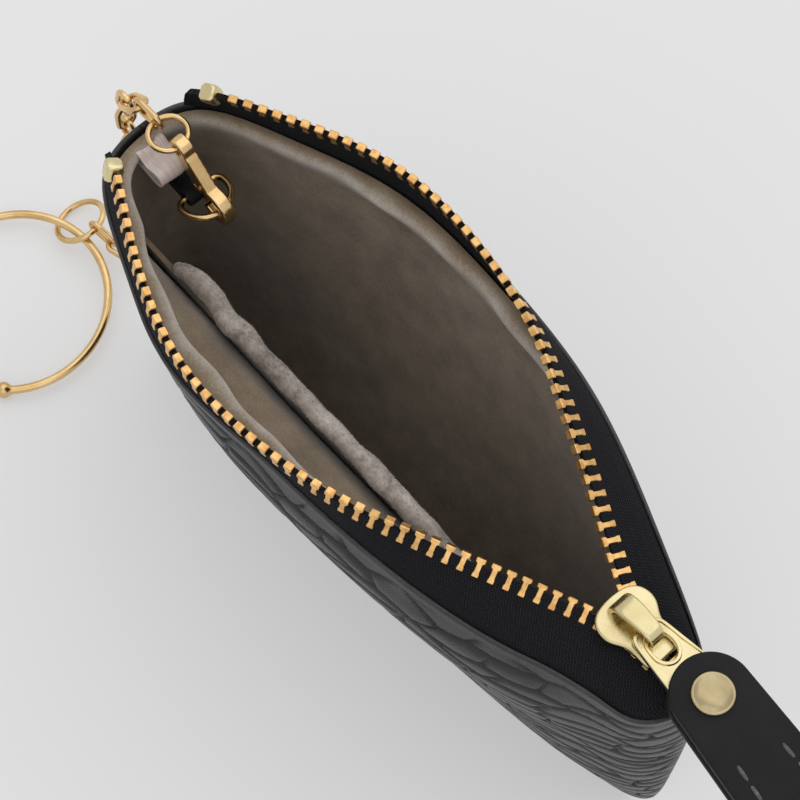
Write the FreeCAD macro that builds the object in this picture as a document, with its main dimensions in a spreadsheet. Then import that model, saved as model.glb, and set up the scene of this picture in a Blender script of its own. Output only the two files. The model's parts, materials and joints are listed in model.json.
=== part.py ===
"""A zip key case of embossed leather, standing open, with a key hoop on a chain.

Frame: origin at the middle of the flat base, +X along the mouth towards the slider,
+Y towards the back wall, +Z up.  All lengths are in millimetres.
"""
import FreeCAD
import Part
import Sketcher
import math
import os

Vector = FreeCAD.Vector
Rotation = FreeCAD.Rotation
Placement = FreeCAD.Placement

doc = FreeCAD.newDocument("key_case")

# Driving dimensions
SIZES = (
    # The pouch
    ("rim_height", 70.0),
    ("mouth_half_length", 60.5),
    ("mouth_half_width", 23.6),
    ("leather_wall", 1.3),
    ("lining_wall", 0.8),
    ("glue_gap", 0.1),
    ("seam_gap", 0.2),
    # The slip pocket on the front wall
    ("pocket_rim_drop", 12.5),
    ("pocket_rim_offset", 8.4),
    ("pocket_foot_height", 20.0),
    ("pocket_foot_offset", 4.0),
    ("pocket_sheet", 1.0),
    ("pocket_side_gap", 0.25),
    ("hem_width", 3.6),
    ("hem_height", 3.2),
    ("hem_left_gap", 10.0),
    ("hem_right_gap", 3.2),
    # The zip
    ("tape_thickness", 0.7),
    ("tape_rise", 6.5),
    ("tape_inset", 0.3),
    ("tape_knee", 0.7),
    ("tooth_pitch", 2.3),
    ("tooth_width", 1.05),
    ("tooth_thickness", 2.2),
    ("tooth_head", 1.35),
    ("tooth_grip", 1.7),
    ("grip_gap", 0.2),
    ("tooth_row_inset", 2.2),
    ("stop_width", 2.6),
    ("stop_thickness", 2.9),
    ("stop_head", 1.2),
    ("stop_grip", 1.9),
    ("bottom_stop_length", 1.8),
    ("bottom_stop_half_width", 2.4),
    ("bottom_stop_plate", 0.7),
    ("bottom_stop_gap", 0.5),
    ("stop_tape_gap", 0.25),
    # The slider
    ("slider_nose_from_end", 18.5),
    ("slider_length", 11.0),
    ("slider_half_width", 4.5),
    ("slider_tail_half_width", 3.8),
    ("slider_plate", 0.9),
    ("slider_channel", 2.9),
    ("slider_flange", 0.65),
    ("slider_flange_drop", 0.6),
    ("slider_wedge_half_width", 0.45),
    ("crown_start", 2.2),
    ("crown_length", 7.1),
    ("crown_height", 4.1),
    ("crown_strip", 1.1),
    ("crown_width", 2.6),
    # The pull and its strap
    ("pull_thickness", 1.3),
    ("pull_bar", 1.5),
    ("pull_bar_gap", 0.5),
    ("pull_eye_width", 5.4),
    ("pull_slot_width", 3.4),
    ("pull_slot_length", 4.6),
    ("pull_length", 12.5),
    ("pull_tail_width", 9.2),
    ("pull_end_radius", 3.0),
    ("rivet_post_radius", 1.5),
    ("rivet_running_gap", 0.06),
    ("rivet_cap_radius", 3.1),
    ("rivet_cap_height", 1.5),
    ("rivet_foot_height", 0.5),
    ("strap_leather", 1.3),
    ("strap_length", 48.0),
    ("strap_start_radius", 6.0),
    ("strap_end_radius", 7.5),
    ("strap_layer_gap", 0.06),
    ("strap_turn_deg", -7.0),
    # The tab and its ring inside the left end
    ("tab_drop", 8.0),
    ("tab_width", 4.8),
    ("tab_thickness", 2.0),
    ("tab_reach", 8.2),
    ("tab_eye_radius", 1.7),
    ("tab_eye_wall_gap", 0.08),
    ("tab_wall_gap", 0.25),
    ("fitting_offset", 1.5),
    ("tab_ring_wire", 1.1),
    ("tab_ring_half_bar", 2.7),
    ("tab_ring_corner", 1.4),
    ("tab_ring_leg", 0.6),
    ("tab_ring_tilt_deg", 15.0),
    ("satin_width", 5.4),
    ("satin_thickness", 0.6),
    ("satin_offset", -0.9),
    ("satin_reach", 4.4),
    ("satin_drop", 2.7),
    ("satin_fold_radius", 1.3),
    # The lobster clasp
    ("clasp_thickness", 2.2),
    ("clasp_hook_radius", 3.4),
    ("clasp_hook_inner", 2.0),
    ("clasp_length", 11.0),
    ("clasp_eye_radius", 1.9),
    ("clasp_eye_hole", 0.95),
    ("clasp_stem", 3.2),
    ("clasp_lean_deg", 131.0),
    ("clasp_tip_deg", 95.0),
    ("clasp_slot", 1.2),
    ("clasp_seat_gap", 0.15),
    ("clasp_eye_gap", 0.3),
    ("trigger_thickness", 1.0),
    ("trigger_boss", 1.05),
    ("trigger_pin_radius", 0.4),
    ("trigger_pin_gap", 0.06),
    ("trigger_tip_gap_deg", 10.0),
    ("trigger_lever", 2.0),
    ("trigger_room", 0.35),
    ("clasp_ring_radius", 3.05),
    ("clasp_ring_wire", 0.9),
    ("clasp_ring_tilt_deg", 5.0),
    # The chain
    ("link_length", 6.6),
    ("link_width", 4.0),
    ("link_wire", 1.0),
    ("link_gap", 0.1),
    ("chain_yaw_deg", 12.0),
    ("chain_end_height", 5.5),
    # The small ring and the key hoop on the floor
    ("floor_gap", 0.05),
    ("ring_radius", 4.6),
    ("ring_wire", 1.1),
    ("hoop_radius", 16.9),
    ("hoop_wire", 1.5),
    ("hoop_play", 2.1),
    ("hoop_chain_rise", 0.5),
    ("hoop_ring_rise", 1.0),
    ("hoop_ball_radius", 1.45),
    ("hoop_ball_gap", 0.05),
    ("hoop_ball_deg", -57.0),
    # One overrun for all cuts
    ("overrun", 1.0),
)

# Outline of the leather rim, as poles in shares of the mouth's half length and half width: the two
# walls are alike at the left, and at the slider the front one stands out more than the back one
LEFT_RIM_SHARES = ((-1, 0), (-1, 0.27), (-0.94, 0.50), (-0.72, 0.72), (-0.42, 1.06), (-0.05, 1.02))
FRONT_RIM_SHARES = LEFT_RIM_SHARES + ((0.30, 0.96), (0.66, 0.74), (0.86, 0.42), (0.98, 0.38), (1, 0))
BACK_RIM_SHARES = LEFT_RIM_SHARES + ((0.30, 0.93), (0.66, 0.53), (0.86, 0.31), (0.98, 0.14), (1, 0))
# Outline of the flat base, in the same shares
BASE_SHARES = ((-1, 0), (-1, 0.36), (-0.93, 0.70), (-0.72, 0.95), (-0.42, 1.04), (-0.05, 1.05),
               (0.30, 1.04), (0.66, 0.97), (0.86, 0.78), (0.98, 0.36), (1, 0))
# Levels of the wall: height, length, width and how far the outline has turned into the rim's
LEVEL_SHARES = ((0.0, 0.90, 0.16, 0.0), (0.045, 0.955, 0.19, 0.0), (0.12, 0.985, 0.26, 0.1),
                (0.30, 1.0, 0.48, 0.35), (0.62, 1.005, 0.75, 0.72), (1.0, 1.0, 1.0, 1.0))
# Steps along a wall from seam to seam
WALL_STEPS = 20
# The line of the tape's inner edge: along the mouth, off the middle, and above the rim
TOOTH_LINE_SHARES = ((-0.942, 0.352, 1.0), (-0.894, 0.394, 1.0), (-0.736, 0.610, 1.0),
                     (-0.595, 0.780, 1.0), (-0.446, 0.907, 1.0), (-0.293, 0.953, 1.0),
                     (-0.140, 0.932, 1.0), (0.008, 0.869, 0.98), (0.150, 0.763, 0.92),
                     (0.284, 0.614, 0.80), (0.418, 0.458, 0.64), (0.547, 0.297, 0.45),
                     (0.645, 0.178, 0.30), (0.711, 0.106, 0.235), (0.777, 0.066, 0.23),
                     (0.810, 0.055, 0.23), (0.843, 0.053, 0.23), (0.876, 0.053, 0.23),
                     (0.909, 0.053, 0.23), (0.942, 0.053, 0.23))
# Sections along each tape
TAPE_STATIONS = 32
# How steeply each chain link goes down, over the rim and where the chain comes to the floor
RIM_DEGREES = (3, 40, 76)
FLOOR_DEGREES = (64, 40, 8, -30)

sheet = doc.addObject("Spreadsheet::Sheet", "sizes")
for row, (alias, value) in enumerate(SIZES, start=1):
    sheet.set("A%d" % row, alias)
    sheet.set("B%d" % row, str(value))
    sheet.setAlias("B%d" % row, alias)
doc.recompute()

parts = []


def keep(item, label):
    """Name a finished sub-part and list it for export."""
    item.Label = label
    parts.append(item)
    return item


def new_body(name):
    """A PartDesign body under its node's name."""
    return keep(doc.addObject("PartDesign::Body", name), name)


def plane_of(body, role):
    """The body's own origin plane with this role."""
    for feature in body.Origin.OriginFeatures:
        if feature.Role == role:
            return feature
    raise ValueError(role)


def new_sketch(body, name, geometry, role="XY_Plane", lift=None):
    """A sketch of ready geometry on an origin plane, lifted along its normal by an expression."""
    sketch = body.newObject("Sketcher::SketchObject", name)
    sketch.AttachmentSupport = [(plane_of(body, role), "")]
    sketch.MapMode = "FlatFace"
    if lift:
        sketch.setExpression("AttachmentOffset.Base.z", lift)
    for piece in geometry:
        sketch.addGeometry(piece, False)
    return sketch


def circle_in(sketch, x, y, radius_expression):
    """Add a circle whose radius is bound to the sheet."""
    index = sketch.addGeometry(Part.Circle(Vector(x, y, 0), Vector(0, 0, 1), sheet.link_wire), False)
    sketch.addConstraint(Sketcher.Constraint("Radius", index, sheet.link_wire))
    sketch.setExpression("Constraints[%d]" % (sketch.ConstraintCount - 1), radius_expression)
    return sketch


def pad(body, name, sketch, length_expression, midplane=False, reverse=False):
    """Pad a sketch by an expression of the sheet."""
    feature = body.newObject("PartDesign::Pad", name)
    feature.Profile = sketch
    feature.setExpression("Length", length_expression)
    feature.Midplane = midplane
    feature.Reversed = reverse
    return feature


def pocket(body, name, sketch, length_expression):
    """Cut a sketch through both ways by an expression of the sheet."""
    feature = body.newObject("PartDesign::Pocket", name)
    feature.Profile = sketch
    feature.setExpression("Length", length_expression)
    feature.Midplane = True
    return feature


def rounded_loop(corners):
    """Lines and arcs round a closed outline of (x, y, corner radius) points."""
    count = len(corners)
    starts = []
    ends = []
    arcs = []
    for index, (x, y, radius) in enumerate(corners):
        here = Vector(x, y, 0)
        back = (Vector(*corners[index - 1][:2], 0) - here).normalize()
        ahead = (Vector(*corners[(index + 1) % count][:2], 0) - here).normalize()
        if radius == 0:
            ends.append(here)
            starts.append(here)
            arcs.append(None)
            continue
        half_angle = back.getAngle(ahead) / 2
        reach = radius / math.tan(half_angle)
        middle_way = (back + ahead).normalize()
        middle = here + middle_way * (radius / math.sin(half_angle) - radius)
        ends.append(here + back * reach)
        starts.append(here + ahead * reach)
        arcs.append(Part.Arc(ends[-1], middle, starts[-1]))
    geometry = []
    for index in range(count):
        if arcs[index]:
            geometry.append(arcs[index])
        following = (index + 1) % count
        if starts[index].distanceToPoint(ends[following]) > sheet.seam_gap * sheet.seam_gap:
            geometry.append(Part.LineSegment(starts[index], ends[following]))
    return geometry


def spline(poles):
    """A clamped cubic curve on its poles."""
    curve = Part.BSplineCurve()
    curve.buildFromPoles(poles, False, 3)
    return curve


FRONT = -1
BACK = 1


def wall_level(share, inset, side):
    """Poles of the wall's outline at one of its levels, moved in by an inset."""
    height_share, length_share, width_share, rim_share = share
    half_length = sheet.mouth_half_length * length_share - inset
    half_width = sheet.mouth_half_width * width_share - inset
    seam = sheet.seam_gap / 2
    rim_shares = BACK_RIM_SHARES if side == BACK else FRONT_RIM_SHARES
    poles = []
    for (base_x, base_y), (rim_x, rim_y) in zip(BASE_SHARES, rim_shares):
        along = base_x + (rim_x - base_x) * rim_share
        off = base_y + (rim_y - base_y) * rim_share
        poles.append(Vector(half_length * along, side * (seam + (half_width - seam) * off), 0))
    return poles


def wall_poles(height, inset, side):
    """Poles of the wall's outline at any height: straight between its levels."""
    share = height / sheet.rim_height
    for low, high in zip(LEVEL_SHARES, LEVEL_SHARES[1:]):
        if share <= high[0]:
            break
    way = (share - low[0]) / (high[0] - low[0])
    pairs = zip(wall_level(low, inset, side), wall_level(high, inset, side))
    return [lower + (upper - lower) * way for lower, upper in pairs]


def off_middle(curve, x):
    """How far from the middle plane a wall's curve passes at x."""
    low = curve.FirstParameter
    high = curve.LastParameter
    for _ in range(40):
        middle = (low + high) / 2
        if curve.value(middle).x < x:
            low = middle
        else:
            high = middle
    return abs(curve.value(low).y)


def along_mouth(curve, off, right):
    """Where a wall's curve, right or left of its widest point, passes at a distance from the middle."""
    count = 200
    span = curve.LastParameter - curve.FirstParameter
    points = [curve.value(curve.FirstParameter + span * step / count) for step in range(count + 1)]
    if right:
        points.reverse()
    for before, after in zip(points, points[1:]):
        if abs(after.y) >= off:
            way = (off - abs(before.y)) / (abs(after.y) - abs(before.y))
            return before.x + (after.x - before.x) * way
    return points[-1].x


def wall_row(height, inset, side):
    """Points at even steps along the wall's outline at a height."""
    curve = spline(wall_poles(height, inset, side))
    span = curve.LastParameter - curve.FirstParameter
    row = []
    for step in range(WALL_STEPS + 1):
        point = curve.value(curve.FirstParameter + span * step / WALL_STEPS)
        row.append(Vector(point.x, point.y, height))
    return row


def facet(corners):
    """A flat face on its corners."""
    return Part.Face(Part.makePolygon(corners + corners[:1]))


def facets_between(low, high):
    """Flat facets, two to a step, between two rows of points."""
    facets = []
    for step in range(len(low) - 1):
        facets.append(facet([low[step], low[step + 1], high[step + 1]]))
        facets.append(facet([low[step], high[step + 1], high[step]]))
    return facets


def facet_solid(name, facets):
    """A node of one solid closed by flat facets."""
    shell = Part.makeShell(facets)
    shell.sewShape()
    piece = keep(doc.addObject("Part::Feature", name), name)
    piece.Shape = Part.makeSolid(shell)
    return piece


def wall(name, side, inset, thickness, floor):
    """A leather or lining wall with its half of the flat floor: a shell of flat facets.

    The outer skin goes from the floor's underside to the rim and the inner skin from the floor's
    upper side to the rim; one face in the seam plane joins them at both ends and along the base.
    """
    heights = [sheet.rim_height * share[0] for share in LEVEL_SHARES[1:]]
    outer = [wall_row(height, inset, side) for height in [floor] + heights]
    inner = [wall_row(height, inset + thickness, side) for height in [floor + thickness] + heights]
    facets = [facet(outer[0]), facet(inner[0]), facet(outer[-1] + inner[-1][::-1])]
    for rows in (outer, inner):
        for low, high in zip(rows, rows[1:]):
            facets += facets_between(low, high)
    seam = [row[0] for row in outer] + [row[0] for row in reversed(inner)]
    seam += [row[-1] for row in inner] + [row[-1] for row in reversed(outer)]
    facets.append(facet(seam))
    facet_solid(name, facets)


lining_outer = sheet.leather_wall + sheet.glue_gap
lining_inner = lining_outer + sheet.lining_wall
wall("front_panel", FRONT, 0, sheet.leather_wall, 0)
wall("back_panel", BACK, 0, sheet.leather_wall, 0)
wall("front_lining", FRONT, lining_outer, sheet.lining_wall, lining_outer)
wall("back_lining", BACK, lining_outer, sheet.lining_wall, lining_outer)


# The slip pocket: a straight sheet across the bulge of the front wall, with a thick rolled hem
def pocket_sheet():
    """A sheet between the side seams, leaning out towards its upper edge."""
    body = new_body("slip_pocket")
    top = sheet.rim_height - sheet.pocket_rim_drop
    foot = sheet.pocket_foot_height
    sections = []
    steps = 4
    for step in range(steps + 1):
        share = step / steps
        height = foot + (top - foot) * share
        face = sheet.pocket_foot_offset + (sheet.pocket_rim_offset - sheet.pocket_foot_offset) * share
        curve = spline(wall_poles(height, lining_inner, FRONT))
        outer = face + sheet.pocket_sheet
        left = along_mouth(curve, outer, False) + sheet.pocket_side_gap
        right = along_mouth(curve, outer, True) - sheet.pocket_side_gap
        corners = [(left, -outer, 0), (right, -outer, 0), (right, -face, 0), (left, -face, 0)]
        lift = "sizes.pocket_foot_height + (sizes.rim_height - sizes.pocket_rim_drop" \
               " - sizes.pocket_foot_height) * %s" % share
        sections.append(new_sketch(body, "pocket_level_%d" % step, rounded_loop(corners), lift=lift))
    loft = body.newObject("PartDesign::AdditiveLoft", "pocket_loft")
    loft.Profile = sections[0]
    loft.Sections = sections[1:]
    loft.Ruled = True
    return left, right


pocket_left, pocket_right = pocket_sheet()


def pocket_hem():
    """The rolled hem on the pocket's upper edge: a rounded bar along the sheet."""
    body = new_body("slip_pocket_hem")
    low = sheet.rim_height - sheet.pocket_rim_drop
    middle = -(sheet.pocket_rim_offset + sheet.pocket_sheet / 2)
    half = sheet.hem_width / 2
    high = low + sheet.hem_height
    corner = sheet.hem_height / 2.2
    foot = sheet.hem_height / 4
    corners = [(middle - half, low, foot), (middle + half, low, foot),
               (middle + half, high, corner), (middle - half, high, corner)]
    section = new_sketch(body, "hem_section", rounded_loop(corners), role="YZ_Plane")
    bar = body.newObject("PartDesign::Pad", "hem_bar")
    bar.Profile = section
    bar.Length = pocket_right - pocket_left - sheet.hem_left_gap - sheet.hem_right_gap
    body.Placement = Placement(Vector(pocket_left + sheet.hem_left_gap, 0, 0), Rotation())


pocket_hem()

# The zip's two tapes, each standing on the rim and leaning in towards the slider
tooth_line = Part.BSplineCurve()
tooth_points = []
for along_share, off_share, rise_share in TOOTH_LINE_SHARES:
    tooth_points.append(Vector(sheet.mouth_half_length * along_share, -sheet.mouth_half_width * off_share,
                               sheet.rim_height + sheet.tape_rise * rise_share))
tooth_line.interpolate(tooth_points)
tooth_edge = tooth_line.toShape()
tape_feet = {side: spline(wall_poles(sheet.rim_height, sheet.tape_inset, side)) for side in (FRONT, BACK)}


def tape_section(point, side):
    """Corners of a tape's section, drawn on the front, at a point of its inner edge, and its lean."""
    half = sheet.tape_thickness / 2
    rim = sheet.rim_height
    foot = -off_middle(tape_feet[side], point.x)
    knee = Vector(point.x, foot + half, rim + sheet.tape_knee)
    lean = (point - knee).normalize()
    upright = Vector(0, -1, 0)
    face = Vector(0, -lean.z, lean.y)
    mitre = (upright + face) * (half / (1 + upright.dot(face)))
    corners = [Vector(point.x, foot, rim), Vector(point.x, foot + half * 2, rim), knee - mitre,
               point - face * half, point + face * half, knee + mitre]
    return corners, lean


def tape(name, side):
    """A tape along the mouth: flat facets between the corners of its sections."""
    sections = []
    for point in tooth_edge.discretize(TAPE_STATIONS):
        corners, _ = tape_section(point, side)
        sections.append([Vector(corner.x, -side * corner.y, corner.z) for corner in corners])
    lines = list(zip(*sections))
    facets = [facet(sections[0]), facet(sections[-1])]
    for line, following in zip(lines, lines[1:] + lines[:1]):
        facets += facets_between(line, following)
    facet_solid(name, facets)


tape("front_zip_tape", FRONT)
tape("back_zip_tape", BACK)


def clip_solid(head, grip, thickness, width, gap):
    """A clip across the tape's edge: a head beyond it and two jaws that hold it.

    In its own frame x points past the edge, z along the edge, and the slot takes the tape.
    """
    half = thickness / 2
    slot = sheet.tape_thickness / 2 + gap
    outline = [Vector(-grip, -half, 0), Vector(head, -half, 0), Vector(head, half, 0),
               Vector(-grip, half, 0),
               Vector(-grip, slot, 0), Vector(gap, slot, 0), Vector(gap, -slot, 0),
               Vector(-grip, -slot, 0)]
    face = Part.Face(Part.makePolygon(outline + outline[:1]))
    face.translate(Vector(0, 0, -width / 2))
    return face.extrude(Vector(0, 0, width))


def clip_at(solid, length, side):
    """A clip solid seated on a tape at a length along the tooth line."""
    parameter = tooth_edge.getParameterByLength(length)
    point = tooth_edge.valueAt(parameter)
    way = tooth_edge.tangentAt(parameter)
    _, lean = tape_section(point, side)
    across = (lean - way * lean.dot(way)).normalize()
    face = way.cross(across)
    matrix = FreeCAD.Matrix(across.x, face.x, way.x, point.x, across.y, face.y, way.y, point.y,
                            across.z, face.z, way.z, point.z, 0, 0, 0, 1)
    placed = solid.transformGeometry(matrix)
    if side == BACK:
        placed = placed.mirror(Vector(0, 0, 0), Vector(0, 1, 0))
    return placed


def length_at(x):
    """Length along the tooth line where it passes x."""
    low = 0
    high = tooth_edge.Length
    for _ in range(40):
        middle = (low + high) / 2
        if tooth_edge.valueAt(tooth_edge.getParameterByLength(middle)).x < x:
            low = middle
        else:
            high = middle
    return low


slider_nose = sheet.mouth_half_length - sheet.slider_nose_from_end
slider_tail = slider_nose + sheet.slider_length
stop_length = length_at(tooth_points[1].x)
row_start = length_at(slider_tail - sheet.tooth_width)
row_end = stop_length + sheet.stop_width / 2 + sheet.tooth_row_inset / 2
tooth = clip_solid(sheet.tooth_head, sheet.tooth_grip, sheet.tooth_thickness, sheet.tooth_width,
                   sheet.grip_gap)


def tooth_row(name, side, first):
    """One row of teeth at an even pitch along the tape's edge, as a group of solids."""
    solids = []
    length = first
    while length > row_end:
        solids.append(clip_at(tooth, length, side))
        length -= sheet.tooth_pitch
    row = keep(doc.addObject("Part::Feature", name), name)
    row.Shape = Part.makeCompound(solids)
    print(name, "teeth", len(solids))


tooth_row("front_zip_teeth", FRONT, row_start)
tooth_row("back_zip_teeth", BACK, row_start - sheet.tooth_pitch / 2)

stop_clip = clip_solid(sheet.stop_head, sheet.stop_grip, sheet.stop_thickness, sheet.stop_width,
                       sheet.stop_tape_gap)
top_stops = keep(doc.addObject("Part::Feature", "zip_top_stops"), "zip_top_stops")
top_stops.Shape = Part.makeCompound([clip_at(stop_clip, stop_length, FRONT),
                                     clip_at(stop_clip, stop_length, BACK)])

zip_level = tooth_points[-1].z
zip_edge = -tooth_points[-1].y


def bottom_stop():
    """A staple behind the slider: two plates on the tapes and a web between their edges."""
    body = new_body("zip_bottom_stop")
    half = sheet.bottom_stop_half_width
    inner = sheet.tape_thickness / 2 + sheet.stop_tape_gap
    outer = inner + sheet.bottom_stop_plate
    web = zip_edge - sheet.stop_tape_gap
    corners = [(-half, inner, 0), (-web, inner, 0), (-web, -inner, 0), (-half, -inner, 0),
               (-half, -outer, 0), (half, -outer, 0), (half, -inner, 0), (web, -inner, 0),
               (web, inner, 0), (half, inner, 0),
               (half, outer, 0), (-half, outer, 0)]
    section = new_sketch(body, "staple_section", rounded_loop(corners), role="YZ_Plane")
    pad(body, "staple", section, "sizes.bottom_stop_length")
    body.Placement = Placement(Vector(slider_tail + sheet.bottom_stop_gap, 0, zip_level), Rotation())


bottom_stop()

# The slider, in its own frame: nose at x = 0, tail at its length, tapes at z = 0
channel = sheet.slider_channel / 2
slider_place = Placement(Vector(slider_nose, 0, zip_level), Rotation())
plate_top = channel + sheet.slider_plate
SLIDER_SHARES = (0.10, 0.29, 0.88)


def slider_body():
    """Two plates joined by the wedge at the nose, with flanges that keep the rows in."""
    body = new_body("slider_body")
    wide = sheet.slider_half_width
    tail = sheet.slider_tail_half_width
    nose_x, shoulder_x, tail_x = [sheet.slider_length * share for share in SLIDER_SHARES]
    length = sheet.slider_length
    round_off = sheet.slider_plate
    upper = [(0, 0, wide), (nose_x, wide * 0.8, round_off), (shoulder_x, wide, round_off),
             (tail_x, tail, round_off), (length, tail * 0.75, round_off)]
    lower = [(x, -y, radius) for x, y, radius in reversed(upper[1:])]
    nose = Part.Arc(Vector(nose_x, -wide * 0.8, 0), Vector(0, 0, 0), Vector(nose_x, wide * 0.8, 0))
    outline = [(nose_x, wide * 0.8, 0)] + upper[2:] + lower[:-1] + [(nose_x, -wide * 0.8, 0)]
    plate = rounded_loop(outline)[:-1] + [nose]
    over = new_sketch(body, "top_plate_line", plate, lift="sizes.slider_channel / 2")
    pad(body, "top_plate", over, "sizes.slider_plate")
    wedge_half = sheet.slider_wedge_half_width
    wedge = [(nose_x * 0.2, 0, 0), (nose_x * 0.8, -wedge_half, 0), (shoulder_x * 0.85, 0, 0),
             (nose_x * 0.8, wedge_half, 0)]
    post = new_sketch(body, "wedge_line", rounded_loop(wedge))
    pad(body, "wedge", post, "sizes.slider_channel + sizes.slider_plate", midplane=True)
    under = new_sketch(body, "bottom_plate_line", plate,
                       lift="-sizes.slider_channel / 2 - sizes.slider_plate")
    pad(body, "bottom_plate", under, "sizes.slider_plate")
    flange = sheet.slider_flange
    for name, side in (("near", -1), ("far", 1)):
        strip = [(shoulder_x, side * wide, 0), (tail_x, side * tail, 0),
                 (tail_x, side * (tail - flange), 0), (shoulder_x, side * (wide - flange), 0)]
        line = rounded_loop(strip)
        above = new_sketch(body, name + "_upper_flange_line", line, lift="sizes.slider_channel / 2")
        pad(body, name + "_upper_flange", above, "sizes.slider_flange_drop", reverse=True)
        below = new_sketch(body, name + "_lower_flange_line", line, lift="-sizes.slider_channel / 2")
        pad(body, name + "_lower_flange", below, "sizes.slider_flange_drop")
    body.Placement = slider_place


slider_body()


def slider_crown():
    """The bridge on the slider that the pull hangs on."""
    body = new_body("slider_crown")
    start = sheet.crown_start
    end = start + sheet.crown_length
    strip = sheet.crown_strip
    high = plate_top + sheet.crown_height
    corners = [(start, plate_top, 0), (start, high, strip * 1.6), (end, high, strip * 1.6),
               (end, plate_top, 0),
               (end - strip, plate_top, 0), (end - strip, high - strip, strip * 0.6),
               (start + strip, high - strip, strip * 0.6), (start + strip, plate_top, 0)]
    arch = new_sketch(body, "crown_arch", rounded_loop(corners), role="XZ_Plane")
    pad(body, "crown", arch, "sizes.crown_width", midplane=True)
    body.Placement = slider_place


slider_crown()

# The pull, in its own frame: bar at x = 0, rivet at its length
pull_x = slider_nose + sheet.crown_start + sheet.crown_length - sheet.crown_strip \
    - sheet.pull_bar / 2 - sheet.pull_bar_gap
pull_z = zip_level + plate_top + sheet.pull_bar / 2 + sheet.pull_bar_gap
pull_place = Placement(Vector(pull_x, 0, pull_z), Rotation())


def pull_tab():
    """A flat tab with the slot that goes round the crown's post and the hole for the rivet."""
    body = new_body("pull_tab")
    half = sheet.pull_eye_width / 2
    tail = sheet.pull_tail_width / 2
    end = sheet.pull_length + sheet.pull_end_radius
    bar = sheet.pull_bar / 2
    slot_half = sheet.pull_slot_width / 2
    slot_end = bar + sheet.pull_slot_length
    outline = [(-bar, -half, half * 0.6), (end, -tail, tail * 0.8), (end, tail, tail * 0.8),
               (-bar, half, half * 0.6)]
    slot = [(bar, -slot_half, slot_half * 0.3), (slot_end, -slot_half, slot_half * 0.9),
            (slot_end, slot_half, slot_half * 0.9), (bar, slot_half, slot_half * 0.3)]
    sketch = new_sketch(body, "pull_line", rounded_loop(outline) + rounded_loop(slot))
    circle_in(sketch, sheet.pull_length, 0, "sizes.rivet_post_radius + sizes.rivet_running_gap")
    pad(body, "pull_plate", sketch, "sizes.pull_thickness", midplane=True)
    body.Placement = pull_place


pull_tab()

# The strap, in its own frame: rivet at the origin, layers stacked along z
strap_place = pull_place.multiply(Placement(Vector(sheet.pull_length, 0, 0),
                                            Rotation(Vector(0, 0, 1), sheet.strap_turn_deg)))


def strap_outline(start, margin):
    """The strap's outline from a start along it: round ends, growing wider."""
    begin = sheet.strap_start_radius - margin
    finish = sheet.strap_end_radius - margin
    far = sheet.strap_length - sheet.strap_end_radius
    cap = Part.Arc(Vector(far, -finish, 0), Vector(far + finish, 0, 0), Vector(far, finish, 0))
    sides = [Part.LineSegment(Vector(start, -begin, 0), Vector(far, -finish, 0)),
             Part.LineSegment(Vector(far, finish, 0), Vector(start, begin, 0))]
    if start:
        round_end = Part.LineSegment(Vector(start, begin, 0), Vector(start, -begin, 0))
    else:
        round_end = Part.Arc(Vector(0, begin, 0), Vector(-begin, 0, 0), Vector(0, -begin, 0))
    return sides[:1] + [cap] + sides[1:] + [round_end]


layer = "sizes.pull_thickness / 2 + sizes.strap_layer_gap"


def strap_layer(name, lift):
    """One leather face of the strap with its rivet hole."""
    body = new_body(name)
    sketch = new_sketch(body, name + "_line", strap_outline(0, 0), lift=lift)
    circle_in(sketch, 0, 0, "sizes.rivet_post_radius + sizes.rivet_running_gap")
    pad(body, name + "_leather", sketch, "sizes.strap_leather")
    body.Placement = strap_place


strap_layer("strap_top", layer)
strap_layer("strap_bottom", "-(%s) - sizes.strap_leather" % layer)

core = new_body("strap_core")
core_start = sheet.pull_end_radius + sheet.strap_leather
core_shape = strap_outline(core_start, sheet.strap_layer_gap)
core_line = new_sketch(core, "core_line", core_shape, lift="-(%s)" % layer)
pad(core, "core_leather", core_line, "(%s) * 2" % layer)
core.Placement = strap_place

stack = sheet.pull_thickness / 2 + sheet.strap_layer_gap + sheet.strap_leather


def turned_facets(name, profile, sides):
    """A small turned piece: flat facets round z through its (radius, height) profile, flat at both ends."""
    rings = []
    for radius, height in profile:
        ring = []
        for side in range(sides):
            angle = math.tau * side / sides
            ring.append(Vector(radius * math.cos(angle), radius * math.sin(angle), height))
        rings.append(ring)
    facets = [facet(rings[0]), facet(rings[-1])]
    for low, high in zip(rings, rings[1:]):
        for side in range(sides):
            facets.append(facet([low[side - 1], low[side], high[side], high[side - 1]]))
    return facet_solid(name, facets)


def rivet_cap():
    """The domed head on the strap's upper face: a brim and a part of a ball."""
    radius = sheet.rivet_cap_radius
    height = sheet.rivet_cap_height
    brim = height / 4
    rise = height - brim
    ball = (radius * radius + rise * rise) / (rise * 2)
    full = math.asin(radius / ball)
    profile = [(radius, stack)]
    for share in (1.0, 0.8, 0.6, 0.4, 0.2):
        angle = full * share
        profile.append((ball * math.sin(angle), stack + height - ball * (1 - math.cos(angle))))
    turned_facets("rivet_cap", profile, 20).Placement = strap_place


rivet_cap()

post = new_body("rivet_post")
post_line = circle_in(new_sketch(post, "post_line", [], lift="-(%s) - sizes.strap_leather" % layer), 0, 0,
                      "sizes.rivet_post_radius")
pad(post, "post", post_line, "(%s + sizes.strap_leather) * 2" % layer)
foot_line = circle_in(new_sketch(post, "foot_line", [], lift="-(%s) - sizes.strap_leather" % layer), 0, 0,
                      "sizes.rivet_cap_radius * 0.9")
pad(post, "foot", foot_line, "sizes.rivet_foot_height", reverse=True)
post.Placement = strap_place

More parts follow.
